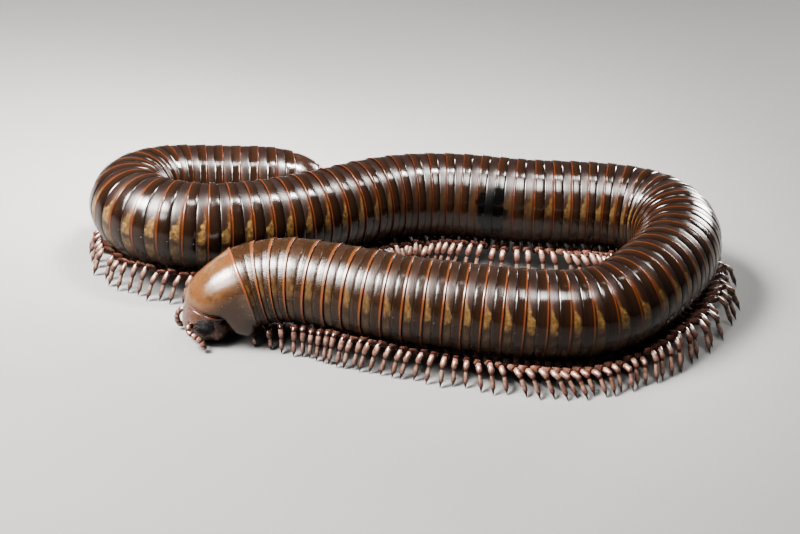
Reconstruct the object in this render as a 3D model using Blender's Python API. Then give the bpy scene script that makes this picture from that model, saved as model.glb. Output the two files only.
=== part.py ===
"""A spirostreptus millipede at rest on the ground, life size, in metres with +Z up.

The body follows a route over the floor: head at the front left, a front run to the right,
a bend, a middle run back to the left, a tight bend, and the tail at the back.
Every trunk length carries its rings and its legs as one solid.
"""

import math

import bmesh
import bpy
from mathutils import Matrix, Vector

# The body
BODY_RADIUS = 0.0060
RING_PITCH = 0.002535
RINGS_PER_LENGTH = 5
TRUNK_LENGTHS = 15
RINGS = RINGS_PER_LENGTH * TRUNK_LENGTHS
FRONT_RINGS = (1.05, 0.85, 0.88, 1.07, 1.15)
TRUNK_END = RINGS * RING_PITCH
BODY_SIDES = 12
BELLY = 0.93
GROOVE = 0.95
SHOULDER = 0.985
SHOULDER_AT = 0.42
RIM_AT = 0.93
NODE_GAP = 0.0003

# The route of the body's axis over the floor
ROUTE_START = (-0.022328, -0.011970)
ROUTE_HEADING = 14.15
STRETCH = 0.010
TURNS = (-50, -7, 11, 0, 20, 42, 10, 29, 73, 18, -16, 22, 25, -8, -15, -44, -73, -67, -7, 16, 30)
ROUTE_STEP = 0.00025

# Heights of the axis above the floor
RUN_HEIGHT = 0.0078
FRONT_RISE = 0.0009
FRONT_RISE_FROM = 0.045
FRONT_RISE_OVER = 0.030
MIDDLE_LIFT = 0.0010
MIDDLE_FROM = 0.045
MIDDLE_RISES_OVER = 0.015
MIDDLE_TO = 0.148
MIDDLE_FALLS_OVER = 0.030
NECK_DROP = 0.0016
NECK_OVER = 0.008
NECK_CURVE = 1.6
TAIL_DROP = 0.0010
TAIL_DROP_FROM = 0.150
TAIL_DROP_OVER = 0.030

# Taper at both ends
FRONT_TAPER = 0.045
FRONT_TAPER_FROM = 0.040
FRONT_TAPER_OVER = 0.030
TAIL_SLIM = 0.06
TAIL_SLIM_FROM = 0.162
TAIL_SLIM_OVER = 0.020
TAIL_TIP = 0.1952
TAIL_ROUND_OVER = 0.011
TAIL_ROUND_CURVE = 2.2
TAIL_ROUND_LEAST = 0.02

# Legs
LEG_SIDES = 3
LEG_PLACES = (0.28, 0.74)
SINGLE_PAIR_RINGS = 3
BARE_LAST_RINGS = 2
LEG_RADII = (0.00046, 0.00043, 0.00038, 0.00022)
LEG_ROOT_SIDE = 0.0006
LEG_ROOT_DEPTH = 0.0007
HIP_SHARE = 0.36
HIP_DROP = 0.00055
KNEE_SHARE = 0.78
KNEE_LIFT = 0.0005
KNEE_CLEARANCE = 0.00095
FULL_SPREAD = 0.0089
SPREADS = ((0.0, 0.0048), (0.040, 0.0089), (0.085, 0.0089), (0.110, 0.0076), (0.150, 0.0074), (0.170, 0.0058))
BEND_SEEN = 1.0
INNER_SHARE = 0.34
STEP_SWING = 0.0024
KNEE_SWING = 0.5
SWING_CURVE = 2.2
STEP_WAVE = 0.036
STEP_PHASE = -11.5

# Collum, the shield over the head: it turns the head down to the floor
COLLUM_SIDES = 16
COLLUM_SECTIONS = 6
COLLUM_FRONT_PITCH = 80.0
COLLUM_REAR_RADIUS = 0.00575
COLLUM_FRONT_WIDTH = 0.0035
COLLUM_FRONT_DEPTH = 0.0031
COLLUM_NARROWING = 0.75
COLLUM_FORWARD = 0.0048
COLLUM_DROP = 0.0020

# Head: half widths and half depths as shares of its largest, from the crown down to the mouth
HEAD_SIDES = 16
HEAD_WIDTH = 0.0035
HEAD_DEPTH = 0.0030
HEAD_LENGTH = 0.0045
HEAD_FORM = (
    (0.00, 0.90, 0.90),
    (0.22, 0.99, 1.00),
    (0.45, 1.00, 1.00),
    (0.68, 0.93, 0.94),
    (0.87, 0.76, 0.76),
    (1.00, 0.52, 0.48),
)

# Pieces set into the head: turn from the face to the side, share of the way down, half sizes
SETTING_SIDES = 10
SETTING_RINGS = 6
EYE_TURN = 66.0
EYE_DOWN = 0.31
EYE_SIZE = (0.00055, 0.00115, 0.00085)
EYE_DEPTH = 0.00032
CHEEK_TURN = 118.0
CHEEK_DOWN = 0.58
CHEEK_SIZE = (0.00085, 0.00105, 0.00125)
CHEEK_DEPTH = 0.00045
MOUTH_PLATE_DOWN = 0.62
MOUTH_PLATE_SIZE = (0.0009, 0.0011, 0.0013)
MOUTH_PLATE_DEPTH = 0.0004

# Antennae: points forward of, beside and above the neck, from the socket to the tip
ANTENNA_SIDES = 6
ANTENNA_TURN = 40.0
ANTENNA_DOWN = 0.44
ANTENNA_ACROSS = (1.0, 0.0, 0.2)
ANTENNA_RADII = (0.00036, 0.00042, 0.00044, 0.00042, 0.00030)
LEFT_ANTENNA = (
    (0.0078, 0.0030, -0.0041),
    (0.0070, 0.0038, -0.0041),
    (0.0061, 0.0043, -0.0046),
    (0.0057, 0.0046, -0.0062),
)
RIGHT_ANTENNA = (
    (0.0082, -0.0027, -0.0042),
    (0.0085, -0.0028, -0.0050),
    (0.0083, -0.0028, -0.0060),
    (0.0076, -0.0029, -0.0066),
)

# Tail end
TELSON_END = 0.1935
TELSON_SECTIONS = 4
VALVE_SECTIONS = 4

GLOSS = 0.25

COLOURS = {
    "trunk": (0.045, 0.025, 0.018, 1.0),
    "collum": (0.35, 0.18, 0.07, 1.0),
    "head": (0.12, 0.05, 0.03, 1.0),
    "eye": (0.01, 0.01, 0.01, 1.0),
    "antenna": (0.55, 0.33, 0.27, 1.0),
    "mouth": (0.16, 0.07, 0.04, 1.0),
    "telson": (0.06, 0.03, 0.02, 1.0),
}


def clear_scene():
    """Remove what the scene holds."""
    for item in list(bpy.data.objects):
        bpy.data.objects.remove(item, do_unlink=True)


def clamp(value):
    """Hold a share between 0 and 1."""
    return min(1.0, max(0.0, value))


def ease(share):
    """Smooth step from 0 to 1."""
    share = clamp(share)
    return share * share * (3.0 - 2.0 * share)


def bend(s):
    """Turn of the route at the distance s from the first ring, in radians a metre, left positive."""
    place = min(max(s / STRETCH, 0.0), len(TURNS) - 1.001)
    index = int(place)
    blend = ease(place - index)
    turn = TURNS[index] * (1.0 - blend) + TURNS[index + 1] * blend
    return math.radians(turn) / STRETCH


def trace_route():
    """Walk the route over the floor and list x, y and heading at every step."""
    x, y = ROUTE_START
    heading = math.radians(ROUTE_HEADING)
    points = [(x, y, heading)]
    for step in range(int(TAIL_TIP / ROUTE_STEP) + 1):
        turned = heading + bend((step + 0.5) * ROUTE_STEP) * ROUTE_STEP
        middle = 0.5 * (heading + turned)
        x += math.cos(middle) * ROUTE_STEP
        y += math.sin(middle) * ROUTE_STEP
        heading = turned
        points.append((x, y, heading))
    return points


ROUTE = trace_route()


def axis_height(s):
    """Height of the body's axis above the floor."""
    height = RUN_HEIGHT
    height += FRONT_RISE * clamp((FRONT_RISE_FROM - s) / FRONT_RISE_OVER)
    height -= NECK_DROP * max(0.0, (NECK_OVER - s) / NECK_OVER) ** NECK_CURVE
    rising = ease((s - MIDDLE_FROM) / MIDDLE_RISES_OVER)
    height += MIDDLE_LIFT * (rising - ease((s - MIDDLE_TO) / MIDDLE_FALLS_OVER))
    height -= TAIL_DROP * ease((s - TAIL_DROP_FROM) / TAIL_DROP_OVER)
    return height


def body_radius(s):
    """Radius of the rings' rims along the body."""
    radius = BODY_RADIUS
    radius *= 1.0 - FRONT_TAPER * clamp((FRONT_TAPER_FROM - s) / FRONT_TAPER_OVER)
    radius *= 1.0 - TAIL_SLIM * clamp((s - TAIL_SLIM_FROM) / TAIL_SLIM_OVER)
    run_out = clamp((s - TAIL_TIP + TAIL_ROUND_OVER) / TAIL_ROUND_OVER)
    return radius * math.sqrt(max(TAIL_ROUND_LEAST, 1.0 - run_out ** TAIL_ROUND_CURVE))


def on_route(s):
    """Point on the axis, its heading and its slope at the distance s."""
    place = min(max(s / ROUTE_STEP, 0.0), len(ROUTE) - 1.001)
    index = int(place)
    share = place - index
    near = Vector(ROUTE[index])
    far = Vector(ROUTE[index + 1])
    x, y, heading = near.lerp(far, share)
    rise = (axis_height(s + ROUTE_STEP) - axis_height(s - ROUTE_STEP)) / (2.0 * ROUTE_STEP)
    return Vector((x, y, axis_height(s))), heading, rise


def axes_matrix(origin, along, side, up):
    """Matrix whose columns are the three axes, set at an origin."""
    turn = Matrix((along, side, up)).transposed().to_4x4()
    return Matrix.Translation(origin) @ turn


def body_frame(s, shift=0.0):
    """Frame on the axis: X to the tail, Y to the left side, Z up across the body."""
    origin, heading, rise = on_route(s)
    along = Vector((math.cos(heading), math.sin(heading), rise)).normalized()
    side = Vector((-math.sin(heading), math.cos(heading), 0.0))
    up = along.cross(side)
    return axes_matrix(origin + along * shift, along, side, up)


def ring_section(sides, belly):
    """Unit outline across the body, round with a flat belly, in the frame's Y and Z."""
    outline = []
    for index in range(sides):
        angle = 2.0 * math.pi * (index + 0.5) / sides - math.pi / 2.0
        outline.append(Vector((0.0, math.cos(angle), max(math.sin(angle), -belly))))
    return outline


def loft(name, outline, matrices):
    """Closed solid through copies of one outline, each placed by its own matrix."""
    mesh = bpy.data.meshes.new(name)
    form = bmesh.new()
    cap = form.faces.new([form.verts.new(matrices[0] @ point) for point in outline])
    edges = list(cap.edges)
    previous = matrices[0]
    for matrix in matrices[1:]:
        grown = bmesh.ops.extrude_edge_only(form, edges=edges)["geom"]
        step = matrix @ previous.inverted()
        verts = [item for item in grown if isinstance(item, bmesh.types.BMVert)]
        bmesh.ops.transform(form, matrix=step, verts=verts)
        edges = [
            item for item in grown
            if isinstance(item, bmesh.types.BMEdge) and all(vert in verts for vert in item.verts)
        ]
        previous = matrix
    bmesh.ops.holes_fill(form, edges=edges, sides=0)
    bmesh.ops.recalc_face_normals(form, faces=form.faces)
    form.to_mesh(mesh)
    form.free()
    item = bpy.data.objects.new(name, mesh)
    MODEL.objects.link(item)
    return item


def paint(item, finish):
    """Give an object its material."""
    material = bpy.data.materials.new(item.name)
    material.use_nodes = True
    shader = material.node_tree.nodes["Principled BSDF"]
    shader.inputs["Base Color"].default_value = COLOURS[finish]
    shader.inputs["Roughness"].default_value = GLOSS
    item.data.materials.clear()
    item.data.materials.append(material)


def fuse(item, pieces):
    """Join the pieces to the item by one union and keep the largest closed surface."""
    group = bpy.data.collections.new(item.name + "_pieces")
    for piece in pieces:
        for home in piece.users_collection:
            home.objects.unlink(piece)
        group.objects.link(piece)
    union = item.modifiers.new("Union", "BOOLEAN")
    union.operation = "UNION"
    union.solver = "EXACT"
    union.operand_type = "COLLECTION"
    union.collection = group
    depsgraph = bpy.context.evaluated_depsgraph_get()
    fused = bpy.data.meshes.new_from_object(item.evaluated_get(depsgraph))
    item.modifiers.clear()
    item.data = fused
    for piece in pieces:
        bpy.data.objects.remove(piece, do_unlink=True)
    bpy.data.collections.remove(group)
    keep_largest(item)


def keep_largest(item):
    """Drop every loose surface but the one with most faces."""
    form = bmesh.new()
    form.from_mesh(item.data)
    unseen = set(form.faces)
    islands = []
    while unseen:
        island = set()
        queue = [unseen.pop()]
        while queue:
            face = queue.pop()
            island.add(face)
            for edge in face.edges:
                for other in edge.link_faces:
                    if other in unseen:
                        unseen.remove(other)
                        queue.append(other)
        islands.append(island)
    islands.sort(key=len)
    loose = [face for island in islands[:-1] for face in island]
    bmesh.ops.delete(form, geom=loose, context="FACES")
    form.to_mesh(item.data)
    form.free()


def ring_start(ring):
    """Distance of a ring's front edge along the body; the rings by the head are uneven."""
    if ring < len(FRONT_RINGS):
        return sum(FRONT_RINGS[:ring]) * RING_PITCH
    return ring * RING_PITCH


def rings_of_length(number):
    """Stations of one trunk length: a low groove, a shoulder and a raised rim to each ring."""
    first = number * RINGS_PER_LENGTH
    matrices = []
    for ring in range(first, first + RINGS_PER_LENGTH):
        start = ring_start(ring)
        pitch = ring_start(ring + 1) - start
        at_start = ring == first
        at_end = ring == first + RINGS_PER_LENGTH - 1
        places = (
            (start, GROOVE, NODE_GAP / 2.0 if at_start else 0.0),
            (start + SHOULDER_AT * pitch, SHOULDER, 0.0),
            (start + (1.0 if at_end else RIM_AT) * pitch, 1.0, -NODE_GAP / 2.0 if at_end else 0.0),
        )
        for s, share, shift in places:
            radius = body_radius(start + SHOULDER_AT * pitch) * share
            size = Matrix.Diagonal((1.0, radius, radius, 1.0))
            matrices.append(body_frame(s, shift) @ size)
    return matrices


def leg_spread(s):
    """Distance of a foot from the body's middle at the distance s."""
    for (near, near_spread), (far, far_spread) in zip(SPREADS, SPREADS[1:]):
        if s <= far:
            return near_spread + (far_spread - near_spread) * clamp((s - near) / (far - near))
    return SPREADS[-1][1]


def leg_stations(s, side):
    """Matrices of one leg's sections from its root inside the belly to its flat foot."""
    origin, heading, _ = on_route(s)
    along = Vector((math.cos(heading), math.sin(heading), 0.0))
    out = Vector((-math.sin(heading), math.cos(heading), 0.0)) * side
    radius = body_radius(s)
    belly = origin.z - radius * BELLY
    spread = leg_spread(s) * radius / BODY_RADIUS
    inward = bend(s) * side
    if inward > BEND_SEEN:
        spread = min(spread, INNER_SHARE / inward)
    share = (spread / FULL_SPREAD) ** SWING_CURVE
    swing = STEP_SWING * share * math.sin(2.0 * math.pi * (s / STEP_WAVE) + STEP_PHASE)
    knee_side = KNEE_SHARE * spread
    underside = origin.z - math.sqrt(max(0.0, radius ** 2 - knee_side ** 2))
    knee_height = min(belly + KNEE_LIFT, underside - KNEE_CLEARANCE)
    path = (
        (0.0, LEG_ROOT_SIDE, belly + LEG_ROOT_DEPTH),
        (0.0, HIP_SHARE * spread, belly - HIP_DROP),
        (KNEE_SWING * swing, knee_side, knee_height),
        (swing, spread, 0.0),
    )
    points = []
    for forward, sideways, height in path:
        ground = origin + along * forward + out * sideways
        points.append(Vector((ground.x, ground.y, height)))
    matrices = []
    for index, point in enumerate(points):
        if index == 0:
            way = out
        elif index == len(points) - 1:
            way = Vector((0.0, 0.0, -1.0))
        else:
            way = (points[index + 1] - points[index - 1]).normalized()
        across = along
        normal = way.cross(across).normalized()
        radius = LEG_RADII[index]
        size = Matrix.Diagonal((1.0, radius, radius, 1.0))
        matrices.append(axes_matrix(point, way, across, normal) @ size)
    return matrices


def leg_section():
    """Unit outline of a leg, with a corner up."""
    outline = []
    for index in range(LEG_SIDES):
        angle = 2.0 * math.pi * index / LEG_SIDES + math.pi / 2.0
        outline.append(Vector((0.0, math.cos(angle), math.sin(angle))))
    return outline


def legs_of_length(number):
    """Legs of one trunk length: one pair on the first rings, two pairs on the others."""
    legs = []
    first = number * RINGS_PER_LENGTH
    for ring in range(first, first + RINGS_PER_LENGTH):
        if ring >= RINGS - BARE_LAST_RINGS:
            continue
        places = LEG_PLACES[:1] if ring < SINGLE_PAIR_RINGS else LEG_PLACES
        for place in places:
            for side in (-1, 1):
                s = ring_start(ring) + place * (ring_start(ring + 1) - ring_start(ring))
                legs.append(loft("leg", leg_section(), leg_stations(s, side)))
    return legs


def build_trunk():
    """Make the trunk lengths with their legs."""
    outline = ring_section(BODY_SIDES, BELLY)
    for number in range(TRUNK_LENGTHS):
        trunk = loft(f"trunk_{number + 1:02d}", outline, rings_of_length(number))
        legs = legs_of_length(number)
        if legs:
            fuse(trunk, legs)
        paint(trunk, "trunk")


def neck_frame():
    """Frame at the collum's rear: X forward over the floor, Y to the animal's left, Z up."""
    origin, heading, _ = on_route(0.0)
    forward = Vector((-math.cos(heading), -math.sin(heading), 0.0))
    up = Vector((0.0, 0.0, 1.0))
    return axes_matrix(origin, forward, up.cross(forward), up)


def pitched(degrees):
    """Directions along and across a section pitched down from the forward way."""
    angle = math.radians(degrees)
    way = Vector((math.cos(angle), 0.0, -math.sin(angle)))
    across = Vector((math.sin(angle), 0.0, math.cos(angle)))
    return way, across


def section_matrix(centre, way, across, half_width, half_depth):
    """Place a unit outline of Y and Z in the neck's frame."""
    side = across.cross(way)
    size = Matrix.Diagonal((1.0, half_width, half_depth, 1.0))
    return neck_frame() @ axes_matrix(centre, way, side, across) @ size


def build_collum():
    """Make the domed shield that bends from the trunk down over the head."""
    _, _, rise = on_route(0.0)
    rear_pitch = math.degrees(math.atan(rise))
    start_way, _ = pitched(rear_pitch)
    end_way, _ = pitched(COLLUM_FRONT_PITCH)
    end = Vector((COLLUM_FORWARD, 0.0, -COLLUM_DROP))
    crossing = start_way.cross(end_way).y
    reach = end.cross(end_way).y / crossing
    corner = start_way * reach
    matrices = []
    for index in range(COLLUM_SECTIONS):
        share = index / (COLLUM_SECTIONS - 1)
        pitch = rear_pitch + (COLLUM_FRONT_PITCH - rear_pitch) * share
        way, across = pitched(pitch)
        centre = corner * (2.0 * share * (1.0 - share)) + end * share ** 2
        if index == 0:
            centre = way * (NODE_GAP / 2.0)
        narrowing = share ** COLLUM_NARROWING
        width = COLLUM_REAR_RADIUS + (COLLUM_FRONT_WIDTH - COLLUM_REAR_RADIUS) * narrowing
        depth = COLLUM_REAR_RADIUS + (COLLUM_FRONT_DEPTH - COLLUM_REAR_RADIUS) * narrowing
        matrices.append(section_matrix(centre, way, across, width, depth))
    collum = loft("collum", ring_section(COLLUM_SIDES, BELLY), matrices)
    paint(collum, "collum")


def head_centre(share):
    """Centre of the head at a share of the way from its crown down to the mouth."""
    way, _ = pitched(COLLUM_FRONT_PITCH)
    margin = Vector((COLLUM_FORWARD, 0.0, -COLLUM_DROP))
    return margin + way * (NODE_GAP + HEAD_LENGTH * share)


def head_size(share):
    """Half width and half depth of the head at a share of the way down."""
    for upper, lower in zip(HEAD_FORM, HEAD_FORM[1:]):
        if upper[0] <= share <= lower[0]:
            blend = (share - upper[0]) / (lower[0] - upper[0])
            width = upper[1] + (lower[1] - upper[1]) * blend
            depth = upper[2] + (lower[2] - upper[2]) * blend
            return HEAD_WIDTH * width, HEAD_DEPTH * depth
    return HEAD_WIDTH * HEAD_FORM[-1][1], HEAD_DEPTH * HEAD_FORM[-1][2]


def on_head(turn, share, side):
    """Point and outward direction on the head, turned from the face to the side."""
    way, across = pitched(COLLUM_FRONT_PITCH)
    lateral = Vector((0.0, 1.0, 0.0)) * side
    angle = math.radians(turn)
    width, depth = head_size(share)
    point = head_centre(share) + across * depth * math.cos(angle) + lateral * width * math.sin(angle)
    outward = (across * math.cos(angle) / depth + lateral * math.sin(angle) / width).normalized()
    return point, outward, way


def setting(name, turn, share, side, size, depth, extra=0.0):
    """Rounded piece sunk into the head, with its sizes out, along and down the surface."""
    point, outward, way = on_head(turn, share, side)
    along = way.cross(outward).normalized()
    down = outward.cross(along)
    half = [part + extra for part in size]
    place = neck_frame() @ axes_matrix(point - outward * depth, outward, along, down)
    form = bmesh.new()
    bmesh.ops.create_uvsphere(
        form,
        u_segments=SETTING_SIDES,
        v_segments=SETTING_RINGS,
        radius=1.0,
        matrix=place @ Matrix.Diagonal((*half, 1.0)) @ Matrix.Rotation(math.pi / 2.0, 4, "Y"),
    )
    bmesh.ops.recalc_face_normals(form, faces=form.faces)
    mesh = bpy.data.meshes.new(name)
    form.to_mesh(mesh)
    form.free()
    item = bpy.data.objects.new(name, mesh)
    MODEL.objects.link(item)
    return item


def carve(item, cutter):
    """Cut one closed solid out of another and remove the cutter."""
    cut = item.modifiers.new("Recess", "BOOLEAN")
    cut.operation = "DIFFERENCE"
    cut.solver = "EXACT"
    cut.object = cutter
    depsgraph = bpy.context.evaluated_depsgraph_get()
    carved = bpy.data.meshes.new_from_object(item.evaluated_get(depsgraph))
    item.modifiers.clear()
    item.data = carved
    bpy.data.objects.remove(cutter, do_unlink=True)
    keep_largest(item)


def build_head():
    """Make the head capsule with the eye patches, cheeks and mouth plate set into it."""
    way, across = pitched(COLLUM_FRONT_PITCH)
    matrices = []
    for share, width, depth in HEAD_FORM:
        centre = head_centre(share)
        matrices.append(section_matrix(centre, way, across, HEAD_WIDTH * width, HEAD_DEPTH * depth))
    head = loft("head", ring_section(HEAD_SIDES, 1.0), matrices)
    settings = [("mouth_plate", 180.0, MOUTH_PLATE_DOWN, 1, MOUTH_PLATE_SIZE, MOUTH_PLATE_DEPTH, "mouth")]
    for side, word in ((1, "left"), (-1, "right")):
        settings.append((f"eye_{word}", EYE_TURN, EYE_DOWN, side, EYE_SIZE, EYE_DEPTH, "eye"))
        settings.append((f"cheek_{word}", CHEEK_TURN, CHEEK_DOWN, side, CHEEK_SIZE, CHEEK_DEPTH, "mouth"))
    for name, turn, share, side, size, depth, finish in settings:
        carve(head, setting("recess", turn, share, side, size, depth, NODE_GAP))
        paint(setting(name, turn, share, side, size, depth), finish)
    paint(head, "head")


def build_antennae():
    """Make both antennae as bent tapered rods that start at their sockets."""
    for side, word, bends in ((1, "left", LEFT_ANTENNA), (-1, "right", RIGHT_ANTENNA)):
        socket, outward, _ = on_head(ANTENNA_TURN, ANTENNA_DOWN, side)
        points = [socket + outward * NODE_GAP, *(Vector(point) for point in bends)]
        matrices = []
        for index, point in enumerate(points):
            if index == 0:
                way = outward
            elif index == len(points) - 1:
                way = (point - points[index - 1]).normalized()
            else:
                way = (points[index + 1] - points[index - 1]).normalized()
            across = way.cross(Vector(ANTENNA_ACROSS)).normalized()
            radius = ANTENNA_RADII[index]
            matrices.append(section_matrix(point, way, across, radius, radius))
        antenna = loft(f"antenna_{word}", ring_section(ANTENNA_SIDES, 1.0), matrices)
        paint(antenna, "antenna")


def tail_matrices(start, end, count, first_shift):
    """Stations of a tail piece that rounds off to the tip."""
    matrices = []
    for index in range(count):
        s = start + (end - start) * index / (count - 1)
        radius = body_radius(s)
        size = Matrix.Diagonal((1.0, radius, radius, 1.0))
        matrices.append(body_frame(s, first_shift if index == 0 else 0.0) @ size)
    return matrices


def half_section(side):
    """Unit half outline on one side of the middle, for an anal valve."""
    middle = 0.5 * NODE_GAP / body_radius(TELSON_END)
    outline = [Vector((0.0, side * middle, -BELLY)), Vector((0.0, side * middle, 1.0))]
    for index in range(1, BODY_SIDES // 2):
        angle = math.pi / 2.0 - math.pi * index / (BODY_SIDES // 2)
        outline.append(Vector((0.0, side * (middle + math.cos(angle) * (1.0 - middle)), math.sin(angle))))
    return outline


def build_tail():
    """Make the last ring and the two valves that close the body."""
    telson_stations = tail_matrices(TRUNK_END, TELSON_END, TELSON_SECTIONS, NODE_GAP / 2.0)
    telson = loft("telson", ring_section(BODY_SIDES, BELLY), telson_stations)
    paint(telson, "telson")
    for side, word in ((1, "left"), (-1, "right")):
        stations = tail_matrices(TELSON_END, TAIL_TIP, VALVE_SECTIONS, NODE_GAP)
        valve = loft(f"valve_{word}", half_section(side), stations)
        paint(valve, "telson")


clear_scene()
MODEL = bpy.data.collections.new("Millipede")
bpy.context.scene.collection.children.link(MODEL)
build_trunk()
build_collum()
build_head()
build_antennae()
build_tail()
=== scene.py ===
"""A spirostreptus millipede as a life-size still model in its photographed pose.

Units are metres. The body's route, its taper and the places of its legs repeat the named
values of the solids, so that every fine piece lies on the solid that it stands for.
"""

import logging
import math
import random
from contextlib import contextmanager
from dataclasses import dataclass, field
from enum import Enum
from typing import Callable, ClassVar, Iterator, NamedTuple, Sequence

import bpy
import numpy as np
from mathutils import Matrix, Vector


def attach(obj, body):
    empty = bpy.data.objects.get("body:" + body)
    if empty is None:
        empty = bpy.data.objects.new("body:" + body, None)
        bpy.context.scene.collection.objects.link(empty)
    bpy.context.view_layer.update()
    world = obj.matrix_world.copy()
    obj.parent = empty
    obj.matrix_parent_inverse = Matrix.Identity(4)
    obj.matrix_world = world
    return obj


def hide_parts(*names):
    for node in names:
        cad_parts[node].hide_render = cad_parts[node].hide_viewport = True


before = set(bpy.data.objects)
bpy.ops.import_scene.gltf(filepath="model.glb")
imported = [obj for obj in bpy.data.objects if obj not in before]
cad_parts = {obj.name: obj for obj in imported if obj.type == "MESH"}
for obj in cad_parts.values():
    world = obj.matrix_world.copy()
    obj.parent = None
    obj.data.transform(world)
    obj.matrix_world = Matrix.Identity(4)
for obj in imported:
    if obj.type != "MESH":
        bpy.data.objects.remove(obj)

log = logging.getLogger("millipede")
Item = bpy.types.Object
Rows = np.ndarray
Mapper = Callable[[Rows], Rows]
Pair = tuple[float, float]
Place = tuple[float, float, float]
Colour = tuple[float, float, float]
Profile = tuple[Pair, ...]


class Side(Enum):
    """Side of the animal, as the sign of its sideways axis."""

    LEFT = 1
    RIGHT = -1


def select(*items: Item) -> None:
    """Select these objects alone, or none, and make the first active.

    Args:
        items: the objects; the first is the main one.
    """
    bpy.ops.object.select_all(action="DESELECT")
    for item in items:
        item.select_set(True)
    if items:
        bpy.context.view_layer.objects.active = items[0]


@contextmanager
def editing(item: Item, action: str = "SELECT") -> Iterator[None]:
    """Hold an object in edit mode, with all of its mesh selected or, for DESELECT, nothing.

    Args:
        item: the object.
        action: SELECT or DESELECT.

    Yields:
        Nothing, while edit mode lasts.
    """
    select(item)
    bpy.ops.object.mode_set(mode="EDIT")
    bpy.ops.mesh.select_all(action=action)
    yield
    bpy.ops.object.mode_set(mode="OBJECT")


def join(name: str, items: Sequence[Item]) -> Item:
    """Join objects into one mesh under one name, and return it.

    Args:
        name: name of the joined object.
        items: the objects; the first is the main one.

    Returns:
        The joined object.
    """
    select(*items)
    bpy.ops.object.join()
    items[0].name = items[0].data.name = name
    return items[0]


def copy_of(item: Item, name: str = "copy") -> Item:
    """Copy an object with a mesh of its own.

    Args:
        item: the object.
        name: name of the copy.

    Returns:
        The copy.
    """
    twin = item.copy()
    twin.data = item.data.copy()
    twin.name = name
    bpy.context.collection.objects.link(twin)
    return twin


def points_of(item: Item) -> Rows:
    """Read an object's points as rows of x, y and z."""
    flat = np.empty(len(item.data.vertices) * 3, np.float32)
    item.data.vertices.foreach_get("co", flat)
    return flat.reshape(-1, 3).astype(float)


def reshape(item: Item, mapper: Mapper) -> None:
    """Move every point of an object by one rule, from rows of points to rows of points."""
    item.data.vertices.foreach_set("co", mapper(points_of(item)).astype(np.float32).ravel())
    item.data.update()


def face_outwards(item: Item) -> None:
    """Recalculate an object's normals and shade it smooth."""
    with editing(item):
        bpy.ops.mesh.normals_make_consistent(inside=False)
    bpy.ops.object.shade_smooth()


def mark(item: Item, **marks: Rows | float) -> None:
    """Write named attributes, one number for the whole object or one per point.

    Args:
        item: the object.
        marks: each attribute's values.
    """
    for name, values in marks.items():
        layer = item.data.attributes.new(name, "FLOAT", "POINT")
        spread = np.broadcast_to(np.asarray(values, np.float32), len(item.data.vertices))
        layer.data.foreach_set("value", np.ascontiguousarray(spread))


def turned_form(name: str, profile: Sequence[Pair], segments: int = 96, closed: bool = True) -> Item:
    """Model a turned form about the X axis by extruding a circle from station to station.

    A map named Around holds the turn from the belly and the place along the axis. One named
    OFBake lays the same skin out by station.

    Args:
        name: name of the form.
        profile: stations as place along the axis and radius.
        segments: points of the circle.
        closed: whether both ends are filled.

    Returns:
        The form at the origin.
    """
    select()
    place, radius = profile[0]
    bpy.ops.mesh.primitive_circle_add(
        vertices=segments, radius=radius, fill_type="NOTHING", location=(place, 0, 0),
        rotation=(0, math.pi / 2, 0),
    )
    item = bpy.context.object
    item.name = name
    bpy.ops.object.transform_apply(location=True, rotation=True, scale=True)
    with editing(item):
        for next_place, next_radius in profile[1:]:
            bpy.ops.mesh.extrude_region_move(TRANSFORM_OT_translate={"value": (next_place - place, 0, 0)})
            share = next_radius / radius
            bpy.ops.transform.resize(value=(1, share, share), center_override=(next_place, 0, 0))
            place, radius = next_place, next_radius
    points = points_of(item)
    turn = np.mod(np.round(np.arctan2(points[:, 1], -points[:, 2]) / (2 * math.pi) * segments), segments)
    corner = np.empty(len(item.data.loops), np.int32)
    item.data.loops.foreach_get("vertex_index", corner)
    around = turn[corner].reshape(-1, 4)
    wraps = around.max(axis=1) - around.min(axis=1) > segments / 2
    around[wraps] = np.where(around[wraps] < segments / 2, around[wraps] + segments, around[wraps])
    across = around.ravel() / segments
    station = corner // segments / (len(profile) - 1)
    for layer_name, up in (("Around", points[corner, 0]), ("OFBake", station)):
        layer = item.data.uv_layers.new(name=layer_name)
        layer.uv.foreach_set("vector", np.stack([across, up], -1).astype(np.float32).ravel())
    if closed:
        with editing(item, "DESELECT"):
            bpy.ops.mesh.select_mode(type="EDGE")
            bpy.ops.mesh.select_non_manifold()
            bpy.ops.mesh.edge_face_add()
            bpy.ops.mesh.select_mode(type="VERT")
    return item


def ease(share: Rows | float) -> Rows:
    """Smooth step from 0 to 1."""
    share = np.clip(share, 0.0, 1.0)
    return share * share * (3.0 - 2.0 * share)


def swell(offset: Rows) -> Rows:
    """Round hump of height 1 at an offset of 0, a third as high at 1."""
    return np.exp(-(offset ** 2))


def unit(rows: Rows) -> Rows:
    """Bring each row to a length of 1."""
    return rows / np.linalg.norm(rows, axis=-1, keepdims=True)


def between(at: Rows, known: Rows, rows: Rows) -> Rows:
    """Interpolate rows of numbers that are known at some places."""
    return np.stack([np.interp(at, known, column) for column in rows.T], -1)


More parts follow.
